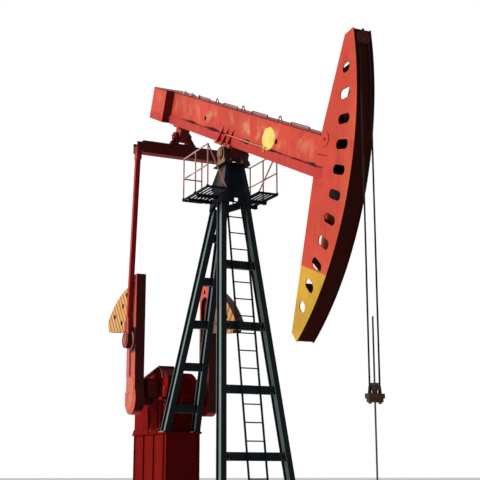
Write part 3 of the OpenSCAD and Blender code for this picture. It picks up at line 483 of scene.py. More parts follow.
def crank_marks(finish):
    """A painted highlight along the rear edge, a groove in painted shade, painted shade in the
    pocket, a painted shadow with grease round the pin, and a dark disc round the hole near the tip.
    """
    across, up, depth = finish.x - SHAFT.x, finish.z - SHAFT.z, abs(finish.y)
    outer = depth.step(CRANK_OUTER - 0.004, CRANK_OUTER - 0.001)
    # Painted highlight: a pale strip along the rear edge of the outer face
    finish.coat(across.fade(-0.120, -0.105) * outer * 0.45, (0.76, 0.27, 0.23))
    # A groove drawn in painted shade down the outer face
    groove = abs(across + 0.050).fade(0.052, 0.064) * up.step(0.40, 0.46) * outer
    finish.coat(groove * 0.90, (0.12, 0.003, 0.003))
    # Painted shadow of the pin, with grease, on the outer face round it
    ragged = finish.wobble(0.22, 1.0, 5.0, 0.7, at=(finish.x * 26.0, finish.y, finish.z * 7.0))
    grease_and_shadow = (abs(up - 1.115) + ragged).fade(0.225, 0.250) * across.step(-0.035, -0.005)
    finish.coat(grease_and_shadow * outer * 0.96, (0.014, 0.003, 0.003))
    # Painted shade in the pocket of the inner face
    pocket = depth.step(0.684, 0.690) * depth.fade(0.760, 0.770)
    pocket = pocket * abs(across).fade(0.1762, 0.1800) * up.step(0.54, 0.55)
    finish.coat(pocket * 0.9, (0.13, 0.004, 0.004))
    # A dark disc round the hole near the tip
    hole = reach(across, up - (CRANK_TIP - 0.226)).fade(0.040, 0.050)
    finish.coat(hole * 0.95, (0.030, 0.004, 0.004))


def rail_marks(finish):
    """Painted highlights in pale patches on the faded rail paint, and patches of dark red."""
    finish.coat(finish.patchy(0.52, 0.64, 2.6, 4.0, 0.6) * 0.75, (0.80, 0.68, 0.66))
    finish.coat(finish.patchy(0.56, 0.66, 3.1, 4.0, 0.6, warp=0.5) * 0.7, (0.20, 0.020, 0.022))


def gusset_front_shade(finish):
    """Painted shade: the front faces of the gussets take a dull red, and the saddle below them is
    nearly black.
    """
    above = finish.on_beam()[1]
    return finish.mix(above.step(0.135, 0.150), (0.040, 0.010, 0.008), (0.25, 0.004, 0.004))


def pitman_front_light_and_shade(finish):
    """Painted light and shade on the pitmans' front faces: their outer part takes a lit red, the
    rest a painted shade.
    """
    return finish.mix(abs(finish.y).step(0.905, 0.920), (0.040, 0.002, 0.003), (0.24, 0.006, 0.006))


def make_finishes(colours):
    """All finishes of the unit, by name."""
    # dark is painted shade for the beam and the horsehead; black is painted shade for the post's
    # flanges, and the base of the dark finishes
    red, dark, black = colours.beam_red[:], colours.dark_red[:], colours.post_dark[:]
    return {
        # The colour after the base is painted shade on the faces along an axis, across it with flip
        "beam": paint("beam_red", red, dark, 0.90, marks=beam_marks),
        "gusset": paint("beam_red", (0.52, 0.046, 0.044), gusset_front_shade, 0.95, dust=0.2),
        "casting": paint("beam_red", (0.72, 0.27, 0.21), rust=0.9),
        "head": paint("beam_red", red, dark, 0.92, dust=0.16, marks=head_marks, inside=WEB_Y),
        # A dark red that is painted shade on the horsehead's curved face, back and ribs
        "inner": paint("dark_red", (0.034, 0.005, 0.004), dust=0.03, rough=0.70, shine=0.03),
        "linkage": paint("dark_red", (0.26, 0.018, 0.020), (0.040, 0.003, 0.003), 0.94, dust=0.10),
        "pitman": paint("dark_red", (0.46, 0.040, 0.036), pitman_front_light_and_shade, 0.95, dust=0.12),
        "crank": paint("dark_red", colours.crank_red[:], (0.015, 0.001, 0.001), 0.95, dust=0.20,
                       rust=0.5, marks=crank_marks),
        "pin_cap": paint("dark_red", (0.48, 0.115, 0.080), (0.016, 0.003, 0.003), 0.96, axis=1,
                         flip=True),
        "pin_ring": paint("dark_red", (0.72, 0.31, 0.26), dust=0.2),
        "hub": paint("dark_red", (0.66, 0.185, 0.120), dust=0.35, rust=0.6),
        "reducer": paint("reducer_red", (0.210, 0.0110, 0.0090), (0.100, 0.005, 0.004), 0.92,
                         dust=0.0, dirt=0.4, rough=0.8, shine=0.0),
        "streak": paint("reducer_red", (0.66, 0.026, 0.018), dust=0.05, dirt=0.2),
        # A pale pink for the cap nuts, and the painted highlight along the roof's gable
        "pale_pink": paint("reducer_red", (0.50, 0.21, 0.20), dust=0.1, dirt=0.3),
        "cap_block": paint("reducer_red", (0.085, 0.011, 0.009), dust=0.06, dirt=0.3, rough=0.8,
                           shine=0.0),
        "weight": paint("weight_yellow", colours.weight_yellow[:], (0.040, 0.008, 0.008), 0.97,
                        dust=0.15, marks=weight_marks, axis=1, flip=True),
        "post": paint("post_dark", colours.post_grey[:], black, 0.96, dust=0.10, rust=0.25,
                      dirt=0.5, shine=0.03),
        "dark": paint("post_dark", shade(black, 1.3), dust=0.03, rust=0.15, shine=0.03),
        "rail": paint("rail_pink", colours.rail_pink[:], (0.26, 0.085, 0.080), 0.75, dust=0.2,
                      rust=0.9, marks=rail_marks),
        "bearing": paint("bearing_tan", (0.31, 0.19, 0.110), (0.028, 0.010, 0.008), 0.95, dust=0.5,
                         dirt=0.7, axis=1, flip=True),
        "head_box": paint("post_dark", shade(black, 1.3), dust=0.03, rust=0.15, shine=0.02,
                          marks=head_box_marks),
        "pipe": paint("bearing_tan", (0.74, 0.29, 0.160), dust=0.2, rust=0.4),
        "skid": paint("skid_grey", (0.030, 0.036, 0.038), dust=0.35, rust=0.5),
        "motor": paint("motor_blue", colours.motor_blue[:]),
        "carrier": paint("carrier_brown", (0.060, 0.032, 0.022), rust=1.0),
        "orange": paint("reducer_red", (0.62, 0.15, 0.04), dust=0.2),
        "roof": paint("reducer_red", (0.075, 0.018, 0.019), (0.048, 0.010, 0.011), 0.6, dust=0.03,
                      dirt=0.5, shine=0.0),
        "grime_and_hole_shade": paint("black_iron", (0.022, 0.005, 0.004), dust=0.05, rust=0.3, shine=0.02),
        "brass": paint("bearing_tan", (0.76, 0.47, 0.17), dust=0.2, rust=0.1),
        "pale": paint("bearing_tan", (0.66, 0.60, 0.54), dust=0.25, rust=0.4),
        "iron": bare_steel("black_iron", (0.030, 0.030, 0.031), 0.55, 0.4, 0.4),
        "steel": bare_steel("bright_steel", (0.42, 0.42, 0.41)),
        "rope": bare_steel("rope_steel", (0.018, 0.020, 0.025), 0.75, 0.8, 0.0, 0.08),
        "rod": bare_steel("bright_steel", (0.055, 0.052, 0.050), 0.45, 0.8, 0.5),
        "bolt": bare_steel("bright_steel", (0.11, 0.085, 0.075), 0.55, 0.6, 0.6),
        "belt": rubber("belt_rubber"),
    }


FINISHES = {}


def finish_for(name):
    """A finish by name. All are made the first time that one is asked for."""
    if not FINISHES:
        FINISHES.update(make_finishes(bpy.context.scene.pump_paint))
        for key, finish in FINISHES.items():
            finish.material.name = f"{key} finish"
    return FINISHES[name]


def add_object(name, data, **settings):
    """An object in the scene, with the settings of its mesh, light or camera."""
    for key, value in settings.items():
        setattr(data, key, value)
    obj = bpy.data.objects.new(name, data)
    bpy.context.scene.collection.objects.link(obj)
    return obj


def facing(axis):
    """The turn that brings the Z axis to a direction."""
    return Vector(axis).to_track_quat("Z", "Y").to_matrix().to_4x4()


class Shape:
    """A mesh in the making, in metres, built from Blender's own shapes."""

    def __init__(self, place=Matrix.Identity(4)):
        self.bm = bmesh.new()
        self.place = place

    def put(self, verts):
        bmesh.ops.transform(self.bm, matrix=self.place, verts=list(verts))

    def block(self, low, high, round_r=0.0):
        """A box between two corners, with rounded edges where a radius is given."""
        low, high = Vector(low), Vector(high)
        made = bmesh.ops.create_cube(
            self.bm, size=1.0,
            matrix=Matrix.Translation((low + high) / 2) @ Matrix.Diagonal((*(high - low), 1.0)))
        if round_r:
            edges = list({edge for vert in made["verts"] for edge in vert.link_edges})
            made = bmesh.ops.bevel(self.bm, geom=edges, offset=round_r, segments=2, profile=0.5,
                                   affect="EDGES", material=-1)
        self.put(made["verts"])

    def bar(self, start, end, radius, sides=12, end_radius=None):
        """A round or many-sided bar between two points, tapered to its end radius."""
        start, end = Vector(start), Vector(end)
        made = bmesh.ops.create_cone(
            self.bm, cap_ends=True, segments=sides, radius1=radius,
            radius2=radius if end_radius is None else end_radius, depth=(end - start).length,
            matrix=Matrix.Translation((start + end) / 2) @ facing(end - start))
        self.put(made["verts"])

    def stack(self, foot, axis, sides, *steps):
        """Bars on one axis, one on the other: length, radius and, for a taper, end radius."""
        foot, axis = Vector(foot), Vector(axis)
        for run, *radii in steps:
            self.bar(foot, foot + axis * run, radii[0], sides, radii[-1])
            foot = foot + axis * run

    def ring(self, centre, radius, thick, depth, sides):
        """A flat ring across the unit: outer radius, width of its wall, and depth."""
        before = set(self.bm.verts)
        turn = Matrix.Translation(centre) @ facing(OUT)
        wall = Matrix.Translation((radius - thick / 2, 0, 0)) @ Matrix.Rotation(math.pi / 2, 4, "X")
        made = bmesh.ops.create_grid(
            self.bm, x_segments=1, y_segments=1, size=0.5,
            matrix=turn @ wall @ Matrix.Diagonal((thick, depth, 1, 1)))
        faces = list({face for vert in made["verts"] for face in vert.link_faces})
        bmesh.ops.spin(
            self.bm, geom=faces + made["verts"], cent=turn.translation, axis=turn.to_3x3().col[2],
            angle=math.tau, steps=sides, use_merge=True, use_duplicate=False)
        self.put(vert for vert in self.bm.verts if vert not in before)

    def slab(self, points, step):
        """A plate with the outline of the points, pushed out by a step."""
        verts = [self.bm.verts.new(point) for point in points]
        face = self.bm.faces.new(verts)
        pushed = bmesh.ops.extrude_face_region(self.bm, geom=[face])
        moved = [item for item in pushed["geom"] if isinstance(item, bmesh.types.BMVert)]
        bmesh.ops.translate(self.bm, vec=step, verts=moved)
        self.put(verts + moved)

    def bolt(self, at, axis, radius=0.014, height=0.014):
        """A washer, a six-sided head and the end of the thread."""
        at, axis = Vector(at), Vector(axis)
        head = at + axis * 0.003
        self.bar(at, at + axis * 0.004, radius * 1.35, 14)
        self.bar(head, head + axis * height, radius, 6)
        self.bar(head + axis * height, head + axis * (0.003 + height * 1.5), radius * 0.55, 10)

    def bolts(self, xs, ys, zs, axis, radius=0.014, height=0.014):
        """A bolt at each crossing of the given places."""
        for at in ((x, y, z) for x in xs for y in ys for z in zs):
            self.bolt(at, axis, radius, height)

    def bolt_circle(self, centre, axis, reach_r, count, radius, height, turn=0.0):
        for k in range(count):
            angle = math.tau * k / count + turn
            offset = Vector((math.cos(angle) * reach_r, math.sin(angle) * reach_r, 0))
            self.bolt(Vector(centre) + facing(axis) @ offset, axis, radius, height)

    def tube(self, points, radius, sides=8):
        """A pipe along points."""
        curve = bpy.data.curves.new("tube", "CURVE")
        curve.dimensions = "3D"
        curve.bevel_depth = radius
        curve.bevel_resolution = (sides - 4) // 2
        curve.use_fill_caps = True
        spline = curve.splines.new("POLY")
        spline.points.add(len(points) - 1)
        for point, value in zip(spline.points, points):
            point.co = (*value, 1.0)
        holder = bpy.data.objects.new("tube", curve)
        mesh = bpy.data.meshes.new_from_object(holder)
        before = set(self.bm.verts)
        self.bm.from_mesh(mesh)
        self.put(vert for vert in self.bm.verts if vert not in before)
        bpy.data.objects.remove(holder)
        bpy.data.curves.remove(curve)
        bpy.data.meshes.remove(mesh)

    def mirror(self):
        """Repeat what has been made on the near side of the unit."""
        made = bmesh.ops.duplicate(
            self.bm, geom=self.bm.verts[:] + self.bm.edges[:] + self.bm.faces[:])
        verts = [item for item in made["geom"] if isinstance(item, bmesh.types.BMVert)]
        bmesh.ops.scale(self.bm, vec=(1, -1, 1), verts=verts)
        return self

    def piece(self, name, finish, body=None, replaces=(), merge=True):
        """The finished object, riding on a body where one is given."""
        if merge:
            bmesh.ops.remove_doubles(self.bm, verts=self.bm.verts, dist=MERGE_GAP)
        bmesh.ops.recalc_face_normals(self.bm, faces=self.bm.faces)
        mesh = bpy.data.meshes.new(name)
        self.bm.to_mesh(mesh)
        self.bm.free()
        obj = add_object(name, mesh)
        mesh.polygons.foreach_set("use_smooth", [True] * len(mesh.polygons))
        mesh.set_sharp_from_angle(angle=SHARP_ANGLE)
        finish_for(finish).on(obj)
        if replaces:
            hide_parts(*replaces)
        if body:
            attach(obj, body)
        return obj


def dress(finish, *names):
    """Paint CAD nodes."""
    finish_for(finish).on(*(NODES[name] for name in names))


def arc(centre, radius, start, end, count):
    """Points of an arc in the XZ plane."""
    turns = [start + (end - start) * k / (count - 1) for k in range(count)]
    return [Vector(centre) + Vector((math.cos(turn), 0, math.sin(turn))) * radius for turn in turns]


def spread(low, high, count):
    """Evenly spaced places, both ends included."""
    return [low + (high - low) * k / (count - 1) for k in range(count)]


class PUMP_OT_walking_beam(bpy.types.Operator):
    """Paint the walking beam and add its welds, pipe and bolts."""

    bl_idname = "pump.walking_beam"
    bl_label = "Walking beam"

    def execute(self, context):
        hardware = context.scene.pump_hardware
        dress("beam", "beam_girder", "beam_tail_box", "tail_bracket")
        dress("gusset", "beam_gussets")
        dress("linkage", "beam_top_rails")
        dress("steel", "saddle_shaft", "tail_shaft")

        welds = Shape(ON_BEAM)
        tail, head = -3.11, 3.41
        web = WEB_Y + 0.001
        band = WEB_Y + 0.0265
        flange = BEAM_TOP - 0.021
        welds.bar((tail, web, flange), (head, web, flange), hardware.weld_r, 6)
        welds.bar((tail, band, BAND_TOP), (head, band, BAND_TOP), 0.003, 6)
        welds.bar((tail - 0.012, web, BEAM_RISE + 0.02), (tail - 0.012, web, BEAM_TOP - 0.02),
                  hardware.weld_r, 6)
        for gusset in GUSSETS:
            for along in (gusset - 0.014, gusset + 0.014):
                welds.bar((along, web + 0.002, 0.335), (along, web, 0.475), 0.005, 6)
        welds.mirror().piece("beam_welds", "beam", "walking_beam")

        pipe_y = -WEB_Y - 0.045
        pipe = Shape(ON_BEAM)
        for points in (
                ((-0.03, 0, 0.345), (0.5, 0, 0.348), (1.1, -0.004, 0.345), (1.62, 0, 0.349)),
                ((-0.03, 0, 0.345), (-0.06, 0, 0.32), (-0.07, -0.02, 0.24), (-0.08, -0.03, 0.165))):
            pipe.tube([(along, pipe_y + y, above) for along, y, above in points],
                      hardware.grease_pipe_r)
        for along in (0.35, 1.05):
            pipe.block((along - 0.012, pipe_y - 0.015, 0.335), (along + 0.012, -WEB_Y, 0.360))
        pipe.piece("grease_pipe", "pipe", "walking_beam")
        fitting = Shape(ON_BEAM)
        fitting.block((1.604, pipe_y - 0.018, 0.330), (1.650, -WEB_Y, 0.364), 0.004)
        fitting.stack((1.630, pipe_y, 0.334), DOWN, 8, (0.046, 0.012))
        fitting.stack((1.630, pipe_y, 0.288), DOWN, 6, (0.012, 0.018))
        fitting.piece("grease_fitting", "brass", "walking_beam")

        bolts = Shape(ON_BEAM)
        places = (-0.375, -0.205, -0.130, 0.030, 0.105, 0.270)
        bolts.bolts(places, (0.198,), (BEAM_RISE - 0.024,), DOWN, 0.016, 0.012)
        bolts.bolts(places, (0.204,), (BEAM_RISE,), UP, 0.016, 0.012)
        bolts.bolts((-2.80, -2.54), (0.135,), (BEAM_RISE - 0.025,), DOWN, 0.013, 0.010)
        bolts.mirror().piece("saddle_bolts", "bolt", "walking_beam")

        # Clamping ears that stand on the saddle plate beside the gussets
        ears = Shape(ON_BEAM)
        for along in (-0.345, -0.168, 0.067, 0.240):
            ears.stack((along, 0.220, BEAM_RISE), UP, 10, (0.026, 0.024, 0.020))
            ears.stack((along, 0.222, BEAM_RISE - 0.024), DOWN, 6, (0.012, 0.021))
        ears.mirror().piece("saddle_ears", "casting", "walking_beam")

        cleats = Shape(ON_BEAM)
        for along in (-2.640, -2.255, -1.845):
            cleats.block((along - 0.023, -0.134, BEAM_TOP + 0.001),
                         (along + 0.023, -0.068, BEAM_TOP + 0.050), 0.003)
            cleats.stack((along, -0.101, BEAM_TOP + 0.050), UP, 8, (0.020, 0.016, 0.012))
        cleats.piece("cleat_caps", "pale", "walking_beam")

        # The band plates lap the side plates of the head and taper out on them
        laps = Shape(ON_BEAM)
        laps.slab([(along, y, BEAM_RISE + 0.001) for along, y in (
            (3.416, 0.1515), (3.416, 0.1765), (3.520, 0.1765), (3.690, 0.1515))], (0, 0, 0.160))
        laps.mirror().piece("band_laps", "beam", "walking_beam")
        return {"FINISHED"}


class PUMP_OT_horsehead(bpy.types.Operator):
    """Paint the horsehead and add its welds and pins."""

    bl_idname = "pump.horsehead"
    bl_label = "Horsehead"

    def execute(self, context):
        dress("head", "head_side_plates")
        # The curved face, the back and the ribs take painted shade between the side plates
        dress("inner", "head_face", "head_back", "head_ribs")
        dress("linkage", "rope_saddle")

        welds = Shape(ON_BEAM)
        welds.tube(arc((0, 0.1365, 0), HEAD_REACH - 0.0285, math.radians(-30.4),
                       math.radians(32.6), 49), 0.004, 4)
        welds.bar((3.436, 0.136, BEAM_RISE + 0.01), (3.436, 0.136, BEAM_TOP - 0.01), 0.005, 6)
        welds.mirror().piece("head_welds", "inner", "walking_beam")

        # The shaded hollow of the rope saddle, with its bolt
        face = HEAD_REACH - 0.014
        hollow = Shape(ON_BEAM @ Matrix.Rotation(-SADDLE_ANGLE, 4, "Y"))
        hollow.stack((face + 0.0065, 0, 0), FORE, 32, (0.0035, 0.0495))
        hollow.bolt((face + 0.010, 0, 0), FORE, 0.016, 0.012)
        hollow.piece("saddle_hollow", "iron", "walking_beam")

        # Pins that hold the head on the beam, with their bolts
        pins = Shape(ON_BEAM)
        pins.stack((3.570, 0.162, 0.770), OUT, 24, (0.010, 0.030))
        pins.bolt((3.570, 0.172, 0.770), OUT, 0.014, 0.010)
        pins.mirror().piece("head_pins", "beam", "walking_beam")
        return {"FINISHED"}


class PUMP_OT_wire_rope(bpy.types.Operator):
    """Lay the wire rope over its saddle and let its two falls hang."""

    bl_idname = "pump.wire_rope"
    bl_label = "Wire rope"

    def lay(self, shape, path, hardware):
        """A core and twisted strands along a path of (point, length so far)."""
        core, wire = hardware.rope_r * 2 / 3, hardware.rope_r / 3
        shape.tube([point for point, _ in path], core * 1.28)
        for strand in range(hardware.strands):
            points = []
            for k, (point, so_far) in enumerate(path):
                ahead = path[min(k + 1, len(path) - 1)][0] - path[max(k - 1, 0)][0]
                ahead.normalize()
                across = ahead.cross(Vector(OUT if abs(ahead.y) < 0.9 else FORE)).normalized()
                turn = math.tau * (so_far / hardware.rope_lay + strand / hardware.strands)
                outward = across * math.cos(turn) + across.cross(ahead) * math.sin(turn)
                points.append(point + outward * core)
            shape.tube(points, wire * 1.04, 6)

    def execute(self, context):
        hardware = context.scene.pump_hardware
        top = Vector((HEAD_REACH, 0, PIVOT_H))
        fall = PIVOT_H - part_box("rope_sockets")[1][2]
        falls, wrap = Shape(), Shape()
        angle = SADDLE_ANGLE - BEAM_TILT
        for y in (-ROPE_Y, ROPE_Y):
            drops = spread(0, fall, int(fall / hardware.rope_lay * 10) + 1)
            self.lay(falls, [(top + Vector((0, y, -drop)), drop) for drop in drops], hardware)
            turns = spread(0, angle, 121)
            points = arc((0, y, PIVOT_H), HEAD_REACH, 0, angle, 121)
            self.lay(wrap, [(point, -HEAD_REACH * turn) for point, turn in zip(points, turns)],
                     hardware)
        falls = falls.piece("rope_falls", "rope", "frame", replaces=("hanging_ropes",), merge=False)
        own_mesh(falls)

        # The bend over the saddle
        up = Vector((-math.sin(angle), 0, math.cos(angle)))
        middle = AT_PIVOT @ (Vector((math.cos(angle), 0, math.sin(angle))) * HEAD_REACH)
        self.lay(wrap, [
            (middle + Vector((0, -math.cos(turn), 0)) * ROPE_Y + up * (ROPE_Y * math.sin(turn)),
             ROPE_Y * turn) for turn in spread(0, math.pi, 33)], hardware)
        wrap = wrap.piece("rope_over_saddle", "rope", replaces=("rope_wrap",), merge=False)
        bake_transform(wrap)
        return {"FINISHED"}


class PUMP_OT_post(bpy.types.Operator):
    """Paint the post and its ladder and add bearing covers and bolts."""

    bl_idname = "pump.post"
    bl_label = "Post and ladder"

    def execute(self, context):
        dress("post", "post_front_frame", "post_rear_frame")
        dress("head_box", "post_head")
        dress("dark", "ladder")
        dress("bearing", "saddle_bearings")

        covers = Shape(AT_PIVOT)
        covers.ring((0, 0.250, 0), 0.110, 0.025, 0.020, 32)
        covers.stack((0, 0.254, 0), OUT, 32, (0.014, 0.106), (0.012, 0.070, 0.062))
        covers.stack((0, 0.165, 0.130), UP, 8, (0.008, 0.016))
        covers.mirror().piece("bearing_covers", "bearing", "frame")

        bolts = Shape()
        bolts.bolt_circle((0, 0.268, PIVOT_H), OUT, 0.090, 6, 0.010, 0.008)
        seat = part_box("post_head")[1][2] + 0.041
        bolts.bolts((-0.165, 0.165), (0.120, 0.230), (seat,), UP, 0.016, 0.018)
        # Bolts through the seats at the top of the legs
        bolts.bolts((-0.045, 0.105), (0.180,), (LEG_TOP + 0.016,), UP)
        # Bolts where the crossbars meet the legs, which lean out and forward
        for bar in range(5):
            z = 4.995 - 1.090 * bar
            drop = LEG_TOP - z
            x, y = 0.080 + drop * LEG_FORWARD, 0.230 + drop * LEG_OUTWARD
            bolts.bolts((x,), (y - 0.115, y - 0.065), (z - 0.042, z + 0.042), FORE, 0.010, 0.008)
        # Anchors of the feet
        bolts.bolts((0.99, 1.19), (0.635, 0.770), (0.320,), UP, 0.018, 0.020)
        bolts.mirror().piece("post_bolts", "bolt", "frame")
        return {"FINISHED"}


class PUMP_OT_platforms(bpy.types.Operator):
    """Paint the platforms and handrails and add their clips."""

    bl_idname = "pump.platforms"
    bl_label = "Platforms and handrails"

    def execute(self, context):
        dress("dark", "near_platform", "far_platform")
        dress("rail", "near_handrail", "far_handrail")
        low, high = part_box("far_platform")
        clips = Shape()
        for x in spread(low[0] + 0.026, high[0] - 0.026, 3):
            clips.stack((x, high[1] - 0.013, high[2]), UP, 12, (0.012, 0.028))
            clips.bolt((x, high[1], high[2] - 0.018), OUT, 0.009, 0.007)
        clips.bolts((-0.415, -0.035), (0.340, 0.640), (low[2],), DOWN, 0.011, 0.008)
        clips.mirror().piece("platform_clips", "dark", "frame")
        return {"FINISHED"}


class PUMP_OT_linkage(bpy.types.Operator):
    """Paint the equalizer and the pitmans and add their bearings' covers and bolts."""

    bl_idname = "pump.linkage"
    bl_label = "Equalizer and pitmans"

    def execute(self, context):
        dress("linkage", "equalizer_beam", "tail_bearing")
        dress("pitman", "pitmans")
        dress("pin_cap", "crank_pin_bearings")
        low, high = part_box("equalizer_beam")
        half_w, top = (high[0] - low[0]) / 2, high[2] - TAIL.z

        covers, bolts = Shape(AT_TAIL), Shape(AT_TAIL)
        covers.stack((0, 0.1765, 0), OUT, 28, (0.0115, 0.078, 0.070))
        bolts.bolts((-0.04565, 0.0, 0.04565), (0.245,), (top + 0.025,), UP, 0.015, 0.014)
        # Wrist brackets at the heads of the pitmans
        for toward in SIDES:
            flat = toward * (half_w + 0.014)
            near, far = sorted((toward * half_w, flat))
            covers.block((near, PITMAN_Y - 0.062, top - 0.245),
                         (far, PITMAN_Y + 0.062, top - 0.040), 0.004)
            covers.stack((flat, PITMAN_Y, top - 0.150), (toward, 0, 0), 20, (0.012, 0.045))
            bolts.bolts((flat,), (PITMAN_Y - 0.045, PITMAN_Y + 0.045), (top - 0.220, top - 0.065),
                        (toward, 0, 0), 0.009, 0.008)
        covers.mirror().piece("linkage_covers", "linkage", "equalizer")
        bolts.mirror()
        for side in SIDES:
            bolts.bolt_circle((0, side * 0.188, 0), (0, side, 0), 0.055, 5, 0.009, 0.007)
        bolts.piece("linkage_bolts", "bolt", "equalizer")

        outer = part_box("crank_pin_bearings")[1][1]
        lean = (TAIL.x - SHAFT.x) / (TAIL.z - SHAFT.z - CRANK_THROW)
        rings, necks, caps = Shape(AT_PIN), Shape(AT_PIN), Shape(AT_PIN)
        rings.ring((0, 0.886, 0), 0.186, 0.040, 0.014, 40)
        caps.ring((0, outer - 0.009, 0), 0.158, 0.014, 0.010, 40)
        caps.bolt_circle((0, outer - 0.014, 0), OUT, 0.122, 6, 0.010, 0.004)
        # The neck that grips the foot of the pitman, with a worn edge
        necks.slab([(x, PITMAN_Y - 0.048, z) for x, z in (
            (-0.100, 0.115), (0.100, 0.115), (0.420 * lean + 0.049, 0.420),
            (0.420 * lean - 0.049, 0.420))], (0, 0.096, 0))
        for toward in SIDES:
            rings.bar((toward * 0.112, 0.976, 0.105), (0.430 * lean + toward * 0.050, 0.976, 0.430),
                      0.009, 8)
        rings.mirror().piece("pin_bearing_rings", "pin_ring", "equalizer")
        necks.mirror().piece("pitman_necks", "pitman", "equalizer")
        caps.mirror().piece("pin_bearing_covers", "pin_cap", "equalizer")
        return {"FINISHED"}


class PUMP_OT_cranks(bpy.types.Operator):
    """Paint the cranks, stripe the counterweights and add hub pads, bolts and bushes."""

    bl_idname = "pump.cranks"
    bl_label = "Cranks and counterweights"

    def execute(self, context):
        dress("crank", "near_crank", "far_crank")
        dress("weight", "near_counterweight", "far_counterweight")
        dress("linkage", "crank_shaft")
        dress("steel", "crank_pins")

        # The raised pad of the hub, with its ring and key
        y, pad_r = CRANK_OUTER, 0.190
        hubs = Shape(AT_SHAFT)
        hubs.slab(arc((0, y - 0.002, 0.215), pad_r, 0, math.pi, 21)
                  + arc((0, y - 0.002, 0), pad_r, math.pi, math.tau, 21), (0, 0.010, 0))
        hubs.ring((0, y + 0.008, 0), 0.160, 0.035, 0.010, 36)
        hubs.block((-0.022, y, 0.105), (0.022, y + 0.012, 0.150), 0.002)
        hubs.mirror().piece("hub_pads", "hub", "cranks")

        # Nut of the crank pin on the inner face, and a rib down each side of the outer face
        trim = Shape(AT_SHAFT)
        trim.stack((0, 0.676, CRANK_THROW), (0, -1, 0), 6, (0.030, 0.078))
        for x in (-0.232, 0.232):
            trim.block((x - 0.006, y, 0.42), (x + 0.006, y + 0.005, CRANK_TIP - 0.02))
        trim.mirror().piece("crank_trim", "crank", "cranks")

        bolts = Shape(AT_SHAFT)
        bolts.bolt_circle((0, y, 0), OUT, 0.262, 8, 0.015, 0.006, turn=math.pi / 8)
        bolts.mirror().piece("crank_bolts", "hub", "cranks")

        # Dark plugs and bushes in the lifting holes: painted shade that fills their depth
        hole_shade = Shape()
        for side, x, z in weight_holes():
            hole_shade.bar((x, side * 0.700, z), (x, side * 0.840, z), 0.0325, 20)
            for depth in (0.8545, 0.6815):
                hole_shade.ring((x, side * depth, z), 0.048, 0.016, 0.006, 24)
        hole_shade.piece("weight_hole_shade", "grime_and_hole_shade", "cranks")
        return {"FINISHED"}


